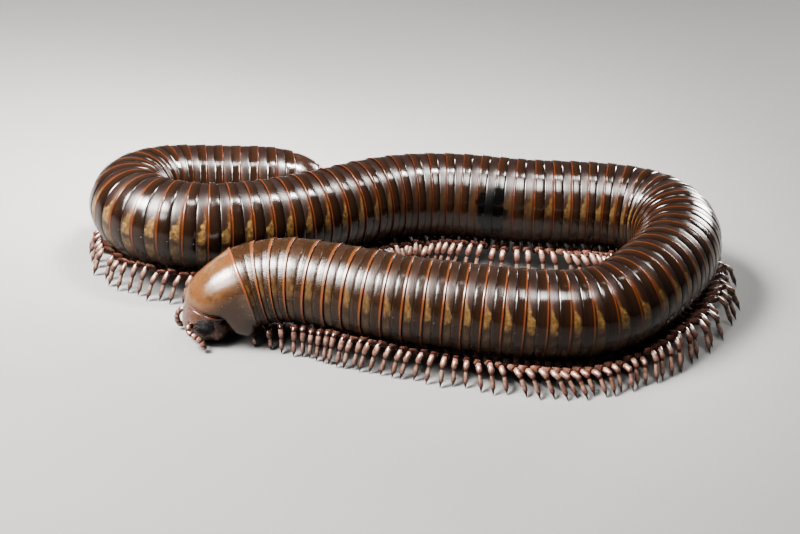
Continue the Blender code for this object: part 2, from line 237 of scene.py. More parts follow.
@dataclass
class Route:
    """The body's axis over the floor, its height and its radius, as in the solids."""

    start: Pair = (-0.022328, -0.01197)
    heading: float = 14.15
    stretch: float = 0.01
    turns: tuple[float, ...] = (
        -50, -7, 11, 0, 20, 42, 10, 29, 73, 18, -16, 22, 25, -8, -15, -44, -73, -67, -7, 16, 30,
    )
    step: float = 0.00025
    pitch: float = 0.002535
    rings: int = 75
    rings_per_length: int = 5
    front_rings: tuple[float, ...] = (1.05, 0.85, 0.88, 1.07, 1.15)
    tip: float = 0.1952
    body_radius: float = 0.006
    belly: float = 0.93
    belly_from: float = 0.8
    run_height: float = 0.0078
    front_rise: float = 0.0009
    neck_drop: float = 0.0016
    middle_lift: float = 0.001
    tail_drop: float = 0.001
    front_slim: float = 0.045
    tail_slim: float = 0.06
    tip_round: float = 0.011
    line: Rows = field(init=False)

    def __post_init__(self) -> None:
        """Walk the route once."""
        x, y = self.start
        heading = math.radians(self.heading)
        rows = [(x, y, heading)]
        for index in range(int(self.tip / self.step) + 1):
            turned = heading + float(self.bend((index + 0.5) * self.step)) * self.step
            middle = 0.5 * (heading + turned)
            x += math.cos(middle) * self.step
            y += math.sin(middle) * self.step
            heading = turned
            rows.append((x, y, heading))
        self.line = np.array(rows)

    def ring_place(self, ring: Rows | float) -> Rows:
        """Distance of a ring number and share along the body; the rings by the head are uneven."""
        last = self.rings + 2.0
        known = [-1.0, *range(len(self.front_rings) + 1), last]
        return np.interp(ring, known, [-1.0, 0.0, *np.cumsum(self.front_rings), last]) * self.pitch

    def lengths(self) -> Iterator[tuple[str, range]]:
        """Go through the trunk lengths: the number of each, as two digits, and its rings."""
        for first in range(0, self.rings, self.rings_per_length):
            yield f"{first // self.rings_per_length + 1:02d}", range(first, first + self.rings_per_length)

    def bend(self, s: float) -> float:
        """Turn in radians a metre at the distance s, left positive.

        Args:
            s: distance along the body.

        Returns:
            The turn.
        """
        place = np.clip(s / self.stretch, 0.0, len(self.turns) - 1.001)
        index = int(place)
        blend = ease(place - index)
        return np.radians(self.turns[index] * (1 - blend) + self.turns[index + 1] * blend) / self.stretch

    def height(self, s: Rows) -> Rows:
        """Height of the axis: raised in front, low at the neck, lifted in the middle, low at the tail.

        Args:
            s: distance along the body.

        Returns:
            The height.
        """
        rise = self.front_rise * np.clip((0.045 - s) / 0.03, 0, 1)
        neck = self.neck_drop * np.maximum(0, (0.008 - s) / 0.008) ** 1.6
        lift = self.middle_lift * (ease((s - 0.045) / 0.015) - ease((s - 0.148) / 0.03))
        return self.run_height + rise - neck + lift - self.tail_drop * ease((s - 0.15) / 0.03)

    def radius(self, s: Rows) -> Rows:
        """Radius of the rims: slimmer in front, slimmer at the tail and round at the tip.

        Args:
            s: distance along the body.

        Returns:
            The radius.
        """
        front = 1 - self.front_slim * np.clip((0.04 - s) / 0.03, 0, 1)
        slim = 1 - self.tail_slim * np.clip((s - 0.162) / 0.02, 0, 1)
        run_out = np.clip((s - self.tip + self.tip_round) / self.tip_round, 0, 1)
        return self.body_radius * front * slim * np.sqrt(np.maximum(0.02, 1 - run_out ** 2.2))

    def frames(self, s: Rows) -> tuple[Rows, Rows, Rows, Rows]:
        """Origin and the along, side and up directions at each distance.

        Args:
            s: distance along the body.

        Returns:
            Four arrays of rows of x, y and z.
        """
        x, y, heading = between(s, np.arange(len(self.line)) * self.step, self.line).T
        early = np.minimum(s, 0.0)
        origin = np.stack([x + early * np.cos(heading), y + early * np.sin(heading), self.height(s)], -1)
        rise = (self.height(s + self.step) - self.height(s - self.step)) / (2 * self.step)
        along = unit(np.stack([np.cos(heading), np.sin(heading), rise], -1))
        side = np.stack([-np.sin(heading), np.cos(heading), 0 * heading], -1)
        return origin, along, side, np.cross(along, side)

    def soften(self, points: Rows) -> Rows:
        """Flatten the underside of a unit form softly down to the belly.

        Args:
            points: rows of points of the unit form, which it changes.

        Returns:
            The same rows.
        """
        room = self.belly - self.belly_from
        low = points[:, 2] < -self.belly_from
        points[low, 2] = -self.belly_from - room * np.tanh((-points[low, 2] - self.belly_from) / room)
        return points

    def laid(self, distance: Callable[[Rows], Rows]) -> Mapper:
        """Make the rule that lays a unit form on the body.

        Args:
            distance: turns the form's X into a distance along the body.

        Returns:
            The rule; the form's radius counts rim radii.
        """

        def rule(points: Rows) -> Rows:
            """Lay the points.

            Args:
                points: rows of points of the unit form.

            Returns:
                Rows of points of the scene.
            """
            points = self.soften(points)
            s = distance(points[:, 0])
            origin, _, side, up = self.frames(s)
            radius = self.radius(s)[:, None]
            return origin + side * points[:, 1:2] * radius + up * points[:, 2:3] * radius

        return rule


ROUTE = Route()


def operation(kind: str, swapped: bool = False) -> Callable[["Value", object], "Value"]:
    """Make an arithmetic method that adds a Math node.

    Args:
        kind: what the node does.
        swapped: whether the value itself comes second.

    Returns:
        The method.
    """

    def method(value: "Value", other: object) -> "Value":
        """Add the node."""
        return value.graph.math(kind, *((other, value) if swapped else (value, other)))

    return method


class Value:
    """A number or colour that varies over a surface; arithmetic on it adds Math nodes."""

    __add__ = __radd__ = operation("ADD")
    __mul__ = __rmul__ = operation("MULTIPLY")
    __sub__ = operation("SUBTRACT")
    __rsub__ = operation("SUBTRACT", swapped=True)
    most = operation("MAXIMUM")
    least = operation("MINIMUM")

    def __init__(self, graph: "Graph", socket: bpy.types.NodeSocket) -> None:
        """Keep the graph and the socket that gives the value."""
        self.graph, self.socket = graph, socket

    def __abs__(self) -> "Value":
        """Drop the sign."""
        return self.graph.math("ABSOLUTE", self)

    def band(self, low: float, high: float, ends: Pair = (0.0, 1.0)) -> "Value":
        """Rise smoothly from 0 to 1 between two values.

        Args:
            low: where the change starts.
            high: where it ends.
            ends: what it gives at the two.

        Returns:
            The value.
        """
        start, stop = ends
        inputs = {"Value": self, "From Min": low, "From Max": high, "To Min": start, "To Max": stop}
        made = self.graph.node("ShaderNodeMapRange", inputs, interpolation_type="SMOOTHSTEP")
        return Value(self.graph, made.outputs["Result"])

    def fade(self, low: float, high: float) -> "Value":
        """Fall smoothly from 1 to 0 between two values."""
        return self.band(low, high, (1.0, 0.0))

    def window(self, rise: Pair, fall: Pair) -> "Value":
        """Rise from 0 to 1 between two values and fall back between two others."""
        return self.band(*rise) * self.fade(*fall)


class Graph:
    """Writes the nodes of one material or shader group."""

    def __init__(self, tree: bpy.types.NodeTree) -> None:
        """Keep the tree."""
        self.tree = tree

    def feed(self, socket: bpy.types.NodeSocket, value: object) -> None:
        """Link a socket to a value, or set its constant.

        Args:
            socket: the socket.
            value: a value or a constant.
        """
        if isinstance(value, Value):
            self.tree.links.new(value.socket, socket)
        else:
            socket.default_value = (*value, 1.0) if socket.type == "RGBA" else value

    def node(self, kind: str, inputs: dict, **settings: object) -> bpy.types.Node:
        """Add a node.

        Args:
            kind: its type.
            inputs: values of its inputs, by name or number.
            settings: its properties.

        Returns:
            The node.
        """
        made = self.tree.nodes.new(kind)
        for name, value in settings.items():
            setattr(made, name, value)
        for key, value in inputs.items():
            self.feed(made.inputs[key], value)
        return made

    def math(self, operation: str, *values: object) -> Value:
        """Add a Math node."""
        made = self.node("ShaderNodeMath", dict(enumerate(values)), operation=operation)
        return Value(self, made.outputs[0])

    def mix(self, share: object, first: object, second: object) -> Value:
        """Blend two colours by the share of the second."""
        made = self.node("ShaderNodeMix", {0: share, 6: first, 7: second}, data_type="RGBA")
        return Value(self, made.outputs[2])

    def noise(
        self, scale: float, detail: float = 3.0, rough: float = 0.55, stretch: Place = (1, 1, 1)
    ) -> Value:
        """Add a noise on Object coordinates.

        Args:
            scale: features per metre.
            detail: number of finer layers.
            rough: strength of the finer layers.
            stretch: how much denser it is along each axis.

        Returns:
            The value.
        """
        where = Value(self, self.node("ShaderNodeTexCoord", {}).outputs["Object"])
        sized = self.node("ShaderNodeMapping", {"Vector": where, "Scale": stretch})
        return self.cloud(Value(self, sized.outputs["Vector"]), scale, detail, rough)

    def cloud(self, where: Value, scale: float, detail: float, rough: float = 0.5) -> Value:
        """Add a noise on a vector."""
        inputs = {"Vector": where, "Scale": scale, "Detail": detail, "Roughness": rough}
        return Value(self, self.node("ShaderNodeTexNoise", inputs).outputs["Fac"])

    def own(self, name: str) -> Value:
        """Read one of the piece's own attributes."""
        return Value(self, self.node("ShaderNodeAttribute", {}, attribute_name=name).outputs["Fac"])

    def around(self) -> tuple[Value, Value]:
        """Read the piece's Around map: the turn from the belly and the place along."""
        where = Value(self, self.node("ShaderNodeUVMap", {}, uv_map="Around").outputs["UV"])
        parts = self.node("ShaderNodeSeparateXYZ", {0: where})
        return Value(self, parts.outputs["X"]), Value(self, parts.outputs["Y"])

    def group(self, tree: bpy.types.NodeTree, **given: object) -> dict[str, Value]:
        """Place a shared group with its own values, and return what it puts out."""
        made = self.node("ShaderNodeGroup", given, node_tree=tree)
        return {socket.name: Value(self, socket) for socket in made.outputs}


Results = dict[str, Value]


def shader_group(name: str, write: Callable[..., Results], **usual: float) -> bpy.types.NodeTree:
    """Build a shader node group with named inputs and outputs.

    Args:
        name: name of the group.
        write: writes its nodes from its graph and its inputs, and returns its outputs.
        usual: the name and usual value of each input.

    Returns:
        The group.
    """
    tree = bpy.data.node_groups.new(name, "ShaderNodeTree")
    for label, value in usual.items():
        tree.interface.new_socket(label, in_out="INPUT", socket_type="NodeSocketFloat").default_value = value
    graph = Graph(tree)
    entry = graph.node("NodeGroupInput", {})
    results = write(graph, *(Value(graph, entry.outputs[label]) for label in usual))
    for label in results:
        tree.interface.new_socket(label, in_out="OUTPUT", socket_type="NodeSocketFloat")
    graph.node("NodeGroupOutput", results)
    return tree


class Effects:
    """The shader groups that several finishes share, each built once."""

    def __init__(self) -> None:
        """Build the groups."""
        self.blotches = shader_group("Blotches", self.write_blotches, Amount=0.5)
        self.striae = shader_group("Striae", self.write_striae, Turn=0.0, Lines=150.0)
        self.hoops = shader_group("Hoops", self.write_hoops, Turn=0.0, Place=0.0)
        self.wear = shader_group("Wear", self.write_wear, Base=0.2, Dust=0.3)

    def write_blotches(self, graph: Graph, amount: Value) -> Results:
        """Soft irregular blotches about a millimetre across, with finer specks in them.

        Args:
            graph: the graph to write in.
            amount: how much is covered.

        Returns:
            The mask and the specks.
        """
        fine = graph.noise(2600.0, 4.0, 0.7)
        both = graph.noise(620.0, 2.0) * 0.72 + fine * 0.28
        level = 0.86 - amount * 0.6
        return {"Mask": (both - level).band(-0.07, 0.07), "Specks": fine.band(0.42, 0.62)}

    def write_striae(self, graph: Graph, turn: Value, lines: Value) -> Results:
        """Fine lengthwise grooves across a ring, a line per share of its turn."""
        angle = turn * lines * (2 * math.pi) + graph.noise(900.0, 2.0) * 3.0
        return {"Height": graph.math("SINE", angle).band(-0.2, 0.9)}

    def write_hoops(self, graph: Graph, turn: Value, place: Value) -> Results:
        """Very fine uneven streaks that run round a ring and break up its gloss."""
        parts = {"X": turn * 22.0, "Y": place * 34.0, "Z": graph.noise(260.0, 1.0)}
        where = Value(graph, graph.node("ShaderNodeCombineXYZ", parts).outputs["Vector"])
        return {"Height": graph.cloud(where, 1.0, 3.0)}

    def write_wear(self, graph: Graph, base: Value, dust: Value) -> Results:
        """Dust film and short scuffs, as a mask, and a roughness that varies with them.

        Args:
            graph: the graph to write in.
            base: roughness of the clean shell.
            dust: strength of the film.

        Returns:
            The mask and the roughness.
        """
        film = graph.noise(240.0, 5.0, 0.65).band(0.45, 0.75)
        scuffs = graph.noise(1500.0, 2.0, stretch=(1.0, 5.0, 2.0)).band(0.66, 0.74)
        mask = film.most(scuffs) * dust
        return {"Mask": mask, "Roughness": base + mask * 0.35}


EFFECTS = Effects()


class Surface(NamedTuple):
    """What a finish paints: its colour, its roughness and, if it has one, its relief."""

    colour: Value
    roughness: Value | float
    relief: Value | None = None


@dataclass(frozen=True)
class Finish:
    """A finish that becomes a material; relief_depth is the full stroke of its relief."""

    name: str
    specular: float = 0.5
    relief_depth: float = 0.00003

    def paint(self, graph: Graph) -> Surface:
        """Write what varies over the surface."""
        raise NotImplementedError

    def build(self) -> bpy.types.Material:
        """Build the material and set its constants.

        Returns:
            The material.
        """
        material = bpy.data.materials.new(self.name)
        material.use_nodes = True
        graph = Graph(material.node_tree)
        sockets = material.node_tree.nodes["Principled BSDF"].inputs
        surface = self.paint(graph)
        graph.feed(sockets["Base Color"], surface.colour)
        graph.feed(sockets["Roughness"], surface.roughness)
        sockets["Specular IOR Level"].default_value = self.specular
        if surface.relief:
            inputs = {"Distance": self.relief_depth, "Strength": 1.0, "Height": surface.relief}
            raised = graph.node("ShaderNodeBump", inputs)
            graph.feed(sockets["Normal"], Value(graph, raised.outputs["Normal"]))
        return material


class RingMaps:
    """What a ring's finish reads: the places and marks on the ring, with the graph to write in."""

    def __init__(self, graph: Graph, suture: Pair) -> None:
        """Read them once; the fore part ends at the suture.

        Args:
            graph: the graph to write in.
            suture: where the fore part ends.
        """
        self.graph = graph
        self.turn, self.place = graph.around()
        self.off_top = abs(self.turn - 0.5)
        self.near_head, self.satin = graph.own("near_head"), graph.own("satin")
        self.pale, self.stain = graph.own("pale"), graph.own("stain")
        self.specks = graph.group(EFFECTS.blotches, Amount=0.6)["Specks"]
        self.fore = self.place.fade(*suture)


@dataclass(frozen=True)
class RingFinish(Finish):
    """Glossy ring shells: ochre-blotched fore part, dark hind part, orange-red rim.

    Places are shares of the ring from its front edge, and heights are shares of a turn from its top.
    """

    name: str = "ring_shell"
    specular: float = 0.33
    dark: Colour = (0.005, 0.0023, 0.0014)
    brown: Colour = (0.0092, 0.004, 0.0021)
    crown: Colour = (0.0104, 0.0042, 0.0023)
    dusk: Colour = (0.006, 0.0027, 0.0019)
    ember: Colour = (0.048, 0.0125, 0.003)
    ochre: Colour = (0.125, 0.074, 0.026)
    amber: Colour = (0.046, 0.0265, 0.0095)
    soot: Colour = (0.0012, 0.001, 0.0009)
    rim: Colour = (0.052, 0.015, 0.0046)
    wine: Colour = (0.028, 0.0072, 0.0032)
    # painted shade in the seam behind each rim
    edge: Colour = (0.018, 0.0035, 0.0018)
    copper: Colour = (0.074, 0.025, 0.0082)
    tan: Colour = (0.037, 0.018, 0.007)
    # painted light on the lower flank of the middle rings
    painted_flank_light: Colour = (0.025, 0.012, 0.0062)
    dust: Colour = (0.11, 0.08, 0.055)
    suture: Pair = (0.425, 0.455)
    rim_from: float = 0.895
    rim_over: float = 0.06
    rim_edge: Pair = (0.975, 0.992)
    blotch_front: float = 0.09
    blotch_widens: Pair = (0.138, 0.218)
    blotch_flare: float = 0.32
    blotch_waver: float = 0.42
    upper_lobe: tuple[Pair, Pair] = ((0.11, 0.17), (0.232, 0.256))
    lower_lobe: tuple[Pair, Pair] = ((0.252, 0.285), (0.31, 0.39))
    lower_strength: float = 0.62
    glow_height: tuple[Pair, Pair] = ((0.04, 0.1), (0.17, 0.3))
    pore_place: float = 0.555
    pore_height: float = 0.245
    pore_edge: Pair = (0.03, 0.05)
    striae: float = 170.0
    striae_side: Pair = (0.27, 0.35)

    def blotched(self, at: RingMaps) -> Value:
        """Colour the fore part: a flame-shaped blotch high on the flank and a dim one below it.

        Args:
            at: what the finish reads.

        Returns:
            The colour.
        """
        mix, noise = at.graph.mix, at.graph.noise
        waver = (noise(1100.0, 4.0) - 0.5) * self.blotch_waver
        drift = (noise(800.0, 2.0) - 0.5) * 0.07
        height = at.off_top + drift
        reach = height.band(*self.blotch_widens) * self.blotch_flare + self.blotch_front + waver
        lobe = (at.place - reach).fade(-0.06, 0.06) * (at.place + drift).band(0.045, 0.115)
        flank = height.window(*self.upper_lobe) + height.window(*self.lower_lobe) * self.lower_strength
        spotted = flank * lobe * (0.55 + at.specks * 0.45)
        top = mix(at.off_top.band(0.05, 0.2), mix(at.satin, self.dusk, self.crown), self.brown)
        glow = at.place.fade(0.05, 0.26) * at.off_top.window(*self.glow_height) * at.pale.band(-0.15, 0.6)
        top = mix(glow * 0.6, top, self.ember)
        ochre = mix(noise(1700.0, 4.0, 0.7).band(0.4, 0.62), self.ochre, self.amber)
        ochre = mix(at.pale, self.amber, ochre)
        return mix(spotted * at.pale.band(0.0, 0.55), top, ochre)

    def rimmed(self, at: RingMaps, freckled: Value, warm: Value) -> Value:
        """Colour the hind part: dark, warmer by the head, with the glowing rim.

        Args:
            at: what the finish reads.
            freckled: colour by the head.
            warm: strength of that colour.

        Returns:
            The colour.
        """
        mix = at.graph.mix
        hind = mix(at.place.band(0.5, 0.8), self.dark, self.brown)
        hind = mix(at.off_top.band(0.28, 0.42) * 0.6, hind, self.dark)
        hind = mix(warm * 0.8, hind, freckled)
        rim_from = self.rim_from - at.near_head * 0.05 - at.satin * 0.04
        vivid = at.satin.most(at.pale.band(0.1, 0.7))
        rim = mix(at.near_head, mix(vivid, self.wine, self.rim), self.copper)
        return mix((at.place - rim_from).band(0.0, self.rim_over), hind, rim)

    def coloured(self, at: RingMaps, worn: Value, pore: Value) -> Value:
        """Bring the parts of the ring together, then its underside, the painted light on the lower flank,
        wear, stain and pores.

        Args:
            at: what the finish reads.
            worn: mask of the wear.
            pore: mask of the pores.

        Returns:
            The colour.
        """
        mix, noise = at.graph.mix, at.graph.noise
        warm = at.near_head * 0.75
        freckled = mix(0.22 + at.specks * 0.62, self.brown, self.tan)
        fore = mix(warm * 0.9, self.blotched(at), freckled)
        colour = mix(at.fore, self.rimmed(at, freckled, warm), fore)
        # painted shade: the rim's rear lip, where it curls down over the next ring, is darkened as the
        # seam's shade
        colour = mix(at.place.band(*self.rim_edge), colour, self.edge)
        colour = mix(at.off_top.band(0.33, 0.44) * 0.6, colour, self.brown)
        # painted light: the lower flank of rings that are neither satin nor pale is lightened to stand in
        # for light falling on it
        plain = 1.0 - at.satin.most(at.pale)
        flank = at.off_top.band(0.2, 0.34) * at.place.fade(0.85, 0.9)
        colour = mix(flank * plain * 0.8, colour, self.painted_flank_light)
        colour = mix(worn * 0.08, colour, self.dust)
        ragged = (noise(700.0, 4.0, 0.6) - 0.5) * 1.1
        stain = (at.stain + ragged).band(0.2, 0.34) * at.stain.band(0.0, 0.1)
        return mix(pore, mix(stain, colour, self.soot), self.dark)

    def pores(self, at: RingMaps) -> Value:
        """Mark the small pore on each flank, behind the suture."""
        along = at.place - self.pore_place
        across = (at.off_top - self.pore_height) * 14.0
        return at.graph.math("SQRT", along * along + across * across).fade(*self.pore_edge)

    def paint(self, graph: Graph) -> Surface:
        """Write the colour, the roughness and the relief of every ring.

        Args:
            graph: the graph to write in.

        Returns:
            The surface.
        """
        at = RingMaps(graph, self.suture)
        wear = graph.group(EFFECTS.wear, Base=0.135, Dust=0.25)
        pore = self.pores(at)
        rough = wear["Roughness"] + at.fore * (0.15 - at.near_head * 0.12)
        rough = rough + at.off_top.band(0.22, 0.36) * 0.1 + at.satin * 0.06 + at.pale.band(0.75, 1.0) * 0.05
        lines = graph.group(EFFECTS.striae, Turn=at.turn, Lines=self.striae)["Height"]
        scored = (at.off_top.band(*self.striae_side) + at.near_head * 0.25).least(1.0)
        scored = scored * at.place.band(0.48, 0.56)
        hoops = graph.group(EFFECTS.hoops, Turn=at.turn, Place=at.place)["Height"]
        relief = lines * scored * -1.0 + hoops * (0.22 + at.fore * 0.18) + graph.noise(5200.0, 2.0) * 0.07
        return Surface(self.coloured(at, wear["Mask"], pore), rough, relief - pore * 1.5)


@dataclass(frozen=True, kw_only=True)
class PlateFinish(Finish):
    """Glossy plain shell of the collum, head, mouthparts and tail end, with a rim and darker low sides."""

    specular: float = 0.52
    base: Colour
    shade: Colour
    rim: Colour
    low_shade: Colour
    rim_from: float
    roughness: float
    low_from: float = 0.2
    ruddy: float = 0.0
    rear_climb: float = 0.0
    front_dull: float = 0.0
    dust: Colour = (0.32, 0.26, 0.2)
    striae: float = 120.0

    def paint(self, graph: Graph) -> Surface:
        """Write the surface; the Around map places its rim and its low sides.

        Args:
            graph: the graph to write in.

        Returns:
            The surface.
        """
        turn, place = graph.around()
        blotch = graph.group(EFFECTS.blotches, Amount=0.42)
        specks = blotch["Specks"]
        colour = graph.mix((blotch["Mask"] + specks * 0.5).least(1.0) * 0.6, self.base, self.shade)
        colour = graph.mix(graph.noise(330.0, 3.0).band(0.42, 0.6) * self.ruddy, colour, self.rim)
        uneven = (graph.noise(520.0, 4.0, 0.65) - 0.5) * 0.1
        sunk = abs(turn - 0.5) + (0.5 - place) * self.rear_climb + uneven
        low = sunk.band(self.low_from, self.low_from + 0.09).most(place.band(0.78, 0.92) * self.front_dull)
        colour = graph.mix(low * 0.85, colour, graph.mix(specks * 0.6, self.low_shade, self.shade))
        margin = place.band(self.rim_from, self.rim_from + 0.03).most(place.fade(0.0, 0.03))
        colour = graph.mix(margin * 0.85, colour, self.rim)
        wear = graph.group(EFFECTS.wear, Base=self.roughness, Dust=0.35)
        colour = graph.mix(wear["Mask"] * 0.25, colour, self.dust)
        lines = graph.group(EFFECTS.striae, Turn=turn, Lines=self.striae)["Height"]
        relief = lines * low * -0.35 + graph.noise(4200.0, 4.0, 0.65) * 0.6
        return Surface(colour, wear["Roughness"], relief)


@dataclass(frozen=True)
class LimbFinish(Finish):
    """Pink-cream cuticle with dark bands at the joints, for legs and antennae."""

    specular: float = 0.55
    relief_depth: float = 0.00002
    pale: Colour = (0.072, 0.033, 0.024)
    cream: Colour = (0.165, 0.103, 0.076)
    flushed: Colour = (0.036, 0.012, 0.0092)
    dark: Colour = (0.016, 0.0052, 0.0036)
    depth_of_light: Place = (0.0006, 0.0003, 0.0002)

    def paint(self, graph: Graph) -> Surface:
        """Write the surface; the attribute named joint counts the joints and the share along each.

        Args:
            graph: the graph to write in.

        Returns:
            The surface.
        """
        joint = graph.own("joint") + (graph.noise(2200.0, 2.0) - 0.5) * 0.1
        near_end = abs(graph.math("FRACT", joint + 0.46) - 0.5)
        colour = graph.mix(graph.noise(1400.0, 3.0).band(0.35, 0.65), self.pale, self.cream)
        colour = graph.mix(graph.math("FRACT", joint).band(0.42, 0.85) * 0.8, colour, self.flushed)
        for share in (near_end.fade(0.07, 0.13), graph.own("claw"), joint.fade(0.6, 1.3)):
            colour = graph.mix(share, colour, self.dark)
        wear = graph.group(EFFECTS.wear, Base=0.17, Dust=0.4)
        return Surface(colour, wear["Roughness"], graph.noise(4800.0, 3.0))

    def build(self) -> bpy.types.Material:
        """Build the material and let a little light into it.

        Returns:
            The material.
        """
        material = super().build()
        sockets = material.node_tree.nodes["Principled BSDF"].inputs
        sockets["Subsurface Weight"].default_value = 0.12
        sockets["Subsurface Radius"].default_value = self.depth_of_light
        return material


@dataclass(frozen=True)
class EyeFinish(Finish):
    """Glossy black lenses."""

    name: str = "eye_lens"
    specular: float = 0.26
    black: Colour = (0.001, 0.0009, 0.0009)
    brown: Colour = (0.003, 0.0016, 0.0013)

    def paint(self, graph: Graph) -> Surface:
        """Write the surface."""
        colour = graph.mix(graph.noise(1800.0).band(0.4, 0.7), self.black, self.brown)
        return Surface(colour, graph.group(EFFECTS.wear, Base=0.06, Dust=0.2)["Roughness"])


@dataclass(frozen=True)
class FloorFinish(Finish):
    """Plain pale floor."""

    name: str = "floor_pale"
    darker: Colour = (0.116, 0.115, 0.113)
    paler: Colour = (0.124, 0.123, 0.121)

    def paint(self, graph: Graph) -> Surface:
        """Write the surface."""
        return Surface(graph.mix(graph.noise(60.0, 3.0), self.darker, self.paler), 0.8)


@dataclass
class Part:
    """A sub-assembly of the animal, with its material and the record's slot for it."""

    material: bpy.types.Material
    slot: ClassVar[str]

    def dress(self, piece: Item, *nodes: str) -> None:
        """Finish a piece: its normals, its material, its body and the nodes it stands for.

        Args:
            piece: the finished mesh.
            nodes: CAD nodes that it replaces.
        """
        face_outwards(piece)
        piece.data.materials.append(self.material)
        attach(piece, "root")
        if nodes:
            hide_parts(*nodes)
        log.info("%s: %d faces", piece.name, len(piece.data.polygons))


@dataclass
class Trunk(Part):
    """The ring shells, joined by trunk length."""

    slot: ClassVar[str] = "trunk_shell"
    profile: Profile = (
        (-0.06, 0.966), (-0.005, 0.969), (0.02, 0.973), (0.1, 0.977), (0.2, 0.979), (0.32, 0.98),
        (0.41, 0.98), (0.438, 0.978), (0.455, 0.972), (0.472, 0.975), (0.495, 0.984), (0.54, 0.989),
        (0.64, 0.992), (0.74, 0.994), (0.84, 0.995), (0.89, 0.995), (0.918, 0.998), (0.948, 1.003),
        (0.975, 1.003), (0.99, 0.998), (0.992, 0.988), (0.975, 0.974), (0.93, 0.96),
    )
    head_warmth: float = 7.0
    satin_from: float = 9.0
    satin_over: float = 9.0
    pale_places: tuple[float, ...] = (0.0, 0.045, 0.06, 0.078, 0.095, 0.1, 0.118, 0.128, 0.14, 0.162, 0.172)
    pale_shares: tuple[float, ...] = (0.62, 0.66, 0.7, 0.52, 0.4, 0.16, 0.14, 0.62, 1.0, 0.95, 0.12)
    stain_at: float = 0.1042
    stain_reach: float = 0.0027
    stain_angle: float = 88.0
    stain_turn: float = 62.0
    map_margin: float = 0.02

    def lay_out(self, ring: Item, place: int) -> None:
        """Move a ring's bake map to its own strip of the trunk length's map.

        Args:
            ring: the ring shell.
            place: its number in the trunk length.
        """
        layer = ring.data.uv_layers["OFBake"]
        flat = np.empty(len(ring.data.loops) * 2, np.float32)
        layer.uv.foreach_get("vector", flat)
        strip = self.map_margin + (1 - 2 * self.map_margin) * flat[1::2]
        flat[1::2] = (place + strip) / ROUTE.rings_per_length
        layer.uv.foreach_set("vector", flat)

    def stain(self, points: Rows, number: int) -> Rows:
        """Nearness of a ring's points to the middle of the dark stain, 1 there and 0 off it."""
        along = (ROUTE.ring_place(number + points[:, 0]) - self.stain_at) / self.stain_reach
        angle = np.degrees(np.arctan2(points[:, 1], points[:, 2]))
        return np.clip(1.0 - np.hypot(along, (angle - self.stain_angle) / self.stain_turn), 0.0, 1.0)

    def shell(self, ring: Item, number: int) -> Item:
        """Copy the ring to its number on the body, with its marks.

        Args:
            ring: the ring in unit size.
            number: ring number from the head.

        Returns:
            The shell.
        """
        shell = copy_of(ring)
        self.lay_out(shell, number % ROUTE.rings_per_length)
        mark(
            shell,
            near_head=math.exp(-((number / self.head_warmth) ** 1.5)),
            satin=1.0 - ease((number - self.satin_from) / self.satin_over),
            stain=self.stain(points_of(shell), number),
            pale=np.interp(ROUTE.ring_place(number), self.pale_places, self.pale_shares),
        )
        reshape(shell, ROUTE.laid(lambda x: ROUTE.ring_place(number + x)))
        return shell

    def build(self) -> None:
        """Copy the ring along the body and join it length by length."""
        ring = turned_form("ring", self.profile, closed=False)
        for label, numbers in ROUTE.lengths():
            shells = [self.shell(ring, number) for number in numbers]
            self.dress(join(f"rings_{label}", shells), f"trunk_{label}")
        bpy.data.objects.remove(ring)


@dataclass
class Limb:
    """A jointed limb along X. Each joint repeats one shape: place along the joint and girth."""

    lengths: tuple[float, ...]
    widths: tuple[float, ...]
    shape: Profile
    segments: int
    claw: float = 0.06

    def build(self, name: str) -> Item:
        """Model the straight limb from X = 0 to X = 1 as one skin with a narrow waist at each joint.

        Args:
            name: name of the limb.

        Returns:
            The limb, with its joints and its claw marked.
        """
        profile: list[Pair] = []
        marks: list[float] = []
        start = 0.0
        for length, width in zip(self.lengths, self.widths):
            share = length / sum(self.lengths) * (1.0 - self.claw)
            for place, girth in self.shape:
                profile.append((start + share * place, width * girth))
                marks.append(len(marks) // len(self.shape) + place)
            start += share
        tip = self.widths[-1]
        profile += [(start + 0.01, tip * 0.42), (start + self.claw * 0.5, tip * 0.3), (1.0, tip * 0.06)]
        marks += [len(self.lengths) + place for place in (0.2, 0.3, 0.4)]
        limb = turned_form(name, profile, self.segments)
        joints = np.repeat(marks, self.segments)
        mark(limb, joint=joints, claw=joints > len(self.lengths))
        face_outwards(limb)
        return limb


def smooth_path(corners: Rows, count: int = 60, steps: int = 16) -> Rows:
    """Draw a smooth path through corner points.

    Args:
        corners: rows of points to pass through.
        count: number of points wanted.
        steps: points from corner to corner before they are spaced evenly.

    Returns:
        Rows of points, evenly spaced along the path.
    """
    padded = np.vstack([2 * corners[0] - corners[1], corners, 2 * corners[-1] - corners[-2]])
    t = np.linspace(0, 1, steps, endpoint=False)[:, None]
    runs = []
    for a, b, c, d in zip(padded, padded[1:], padded[2:], padded[3:]):
        square, cube = 2 * a - 5 * b + 4 * c - d, 3 * b - a - 3 * c + d
        runs.append(0.5 * (2 * b + (c - a) * t + square * t ** 2 + cube * t ** 3))
    dense = np.vstack([*runs, corners[-1]])
    reached = np.concatenate([[0], np.cumsum(np.linalg.norm(np.diff(dense, axis=0), axis=1))])
    return between(np.linspace(0, reached[-1], count), reached, dense)


def along_path(path: Rows, across: Rows) -> Mapper:
    """Make the rule that lays a straight limb on a path.

    Args:
        path: even points of the path.
        across: direction that stays across the limb.

    Returns:
        The rule; X from 0 to 1 runs along the path and Y and Z are metres.
    """
    ways = unit(np.gradient(path, axis=0))
    known = np.arange(len(path))

    def rule(points: Rows) -> Rows:
        """Lay the points.

        Args:
            points: rows of points of the unit form.

        Returns:
            Rows of points of the scene.
        """
        place = np.clip(points[:, 0], 0, 1) * (len(path) - 1)
        way = unit(between(place, known, ways))
        normal = unit(np.cross(way, across[None]))
        return between(place, known, path) + np.cross(normal, way) * points[:, 1:2] + normal * points[:, 2:3]

    return rule


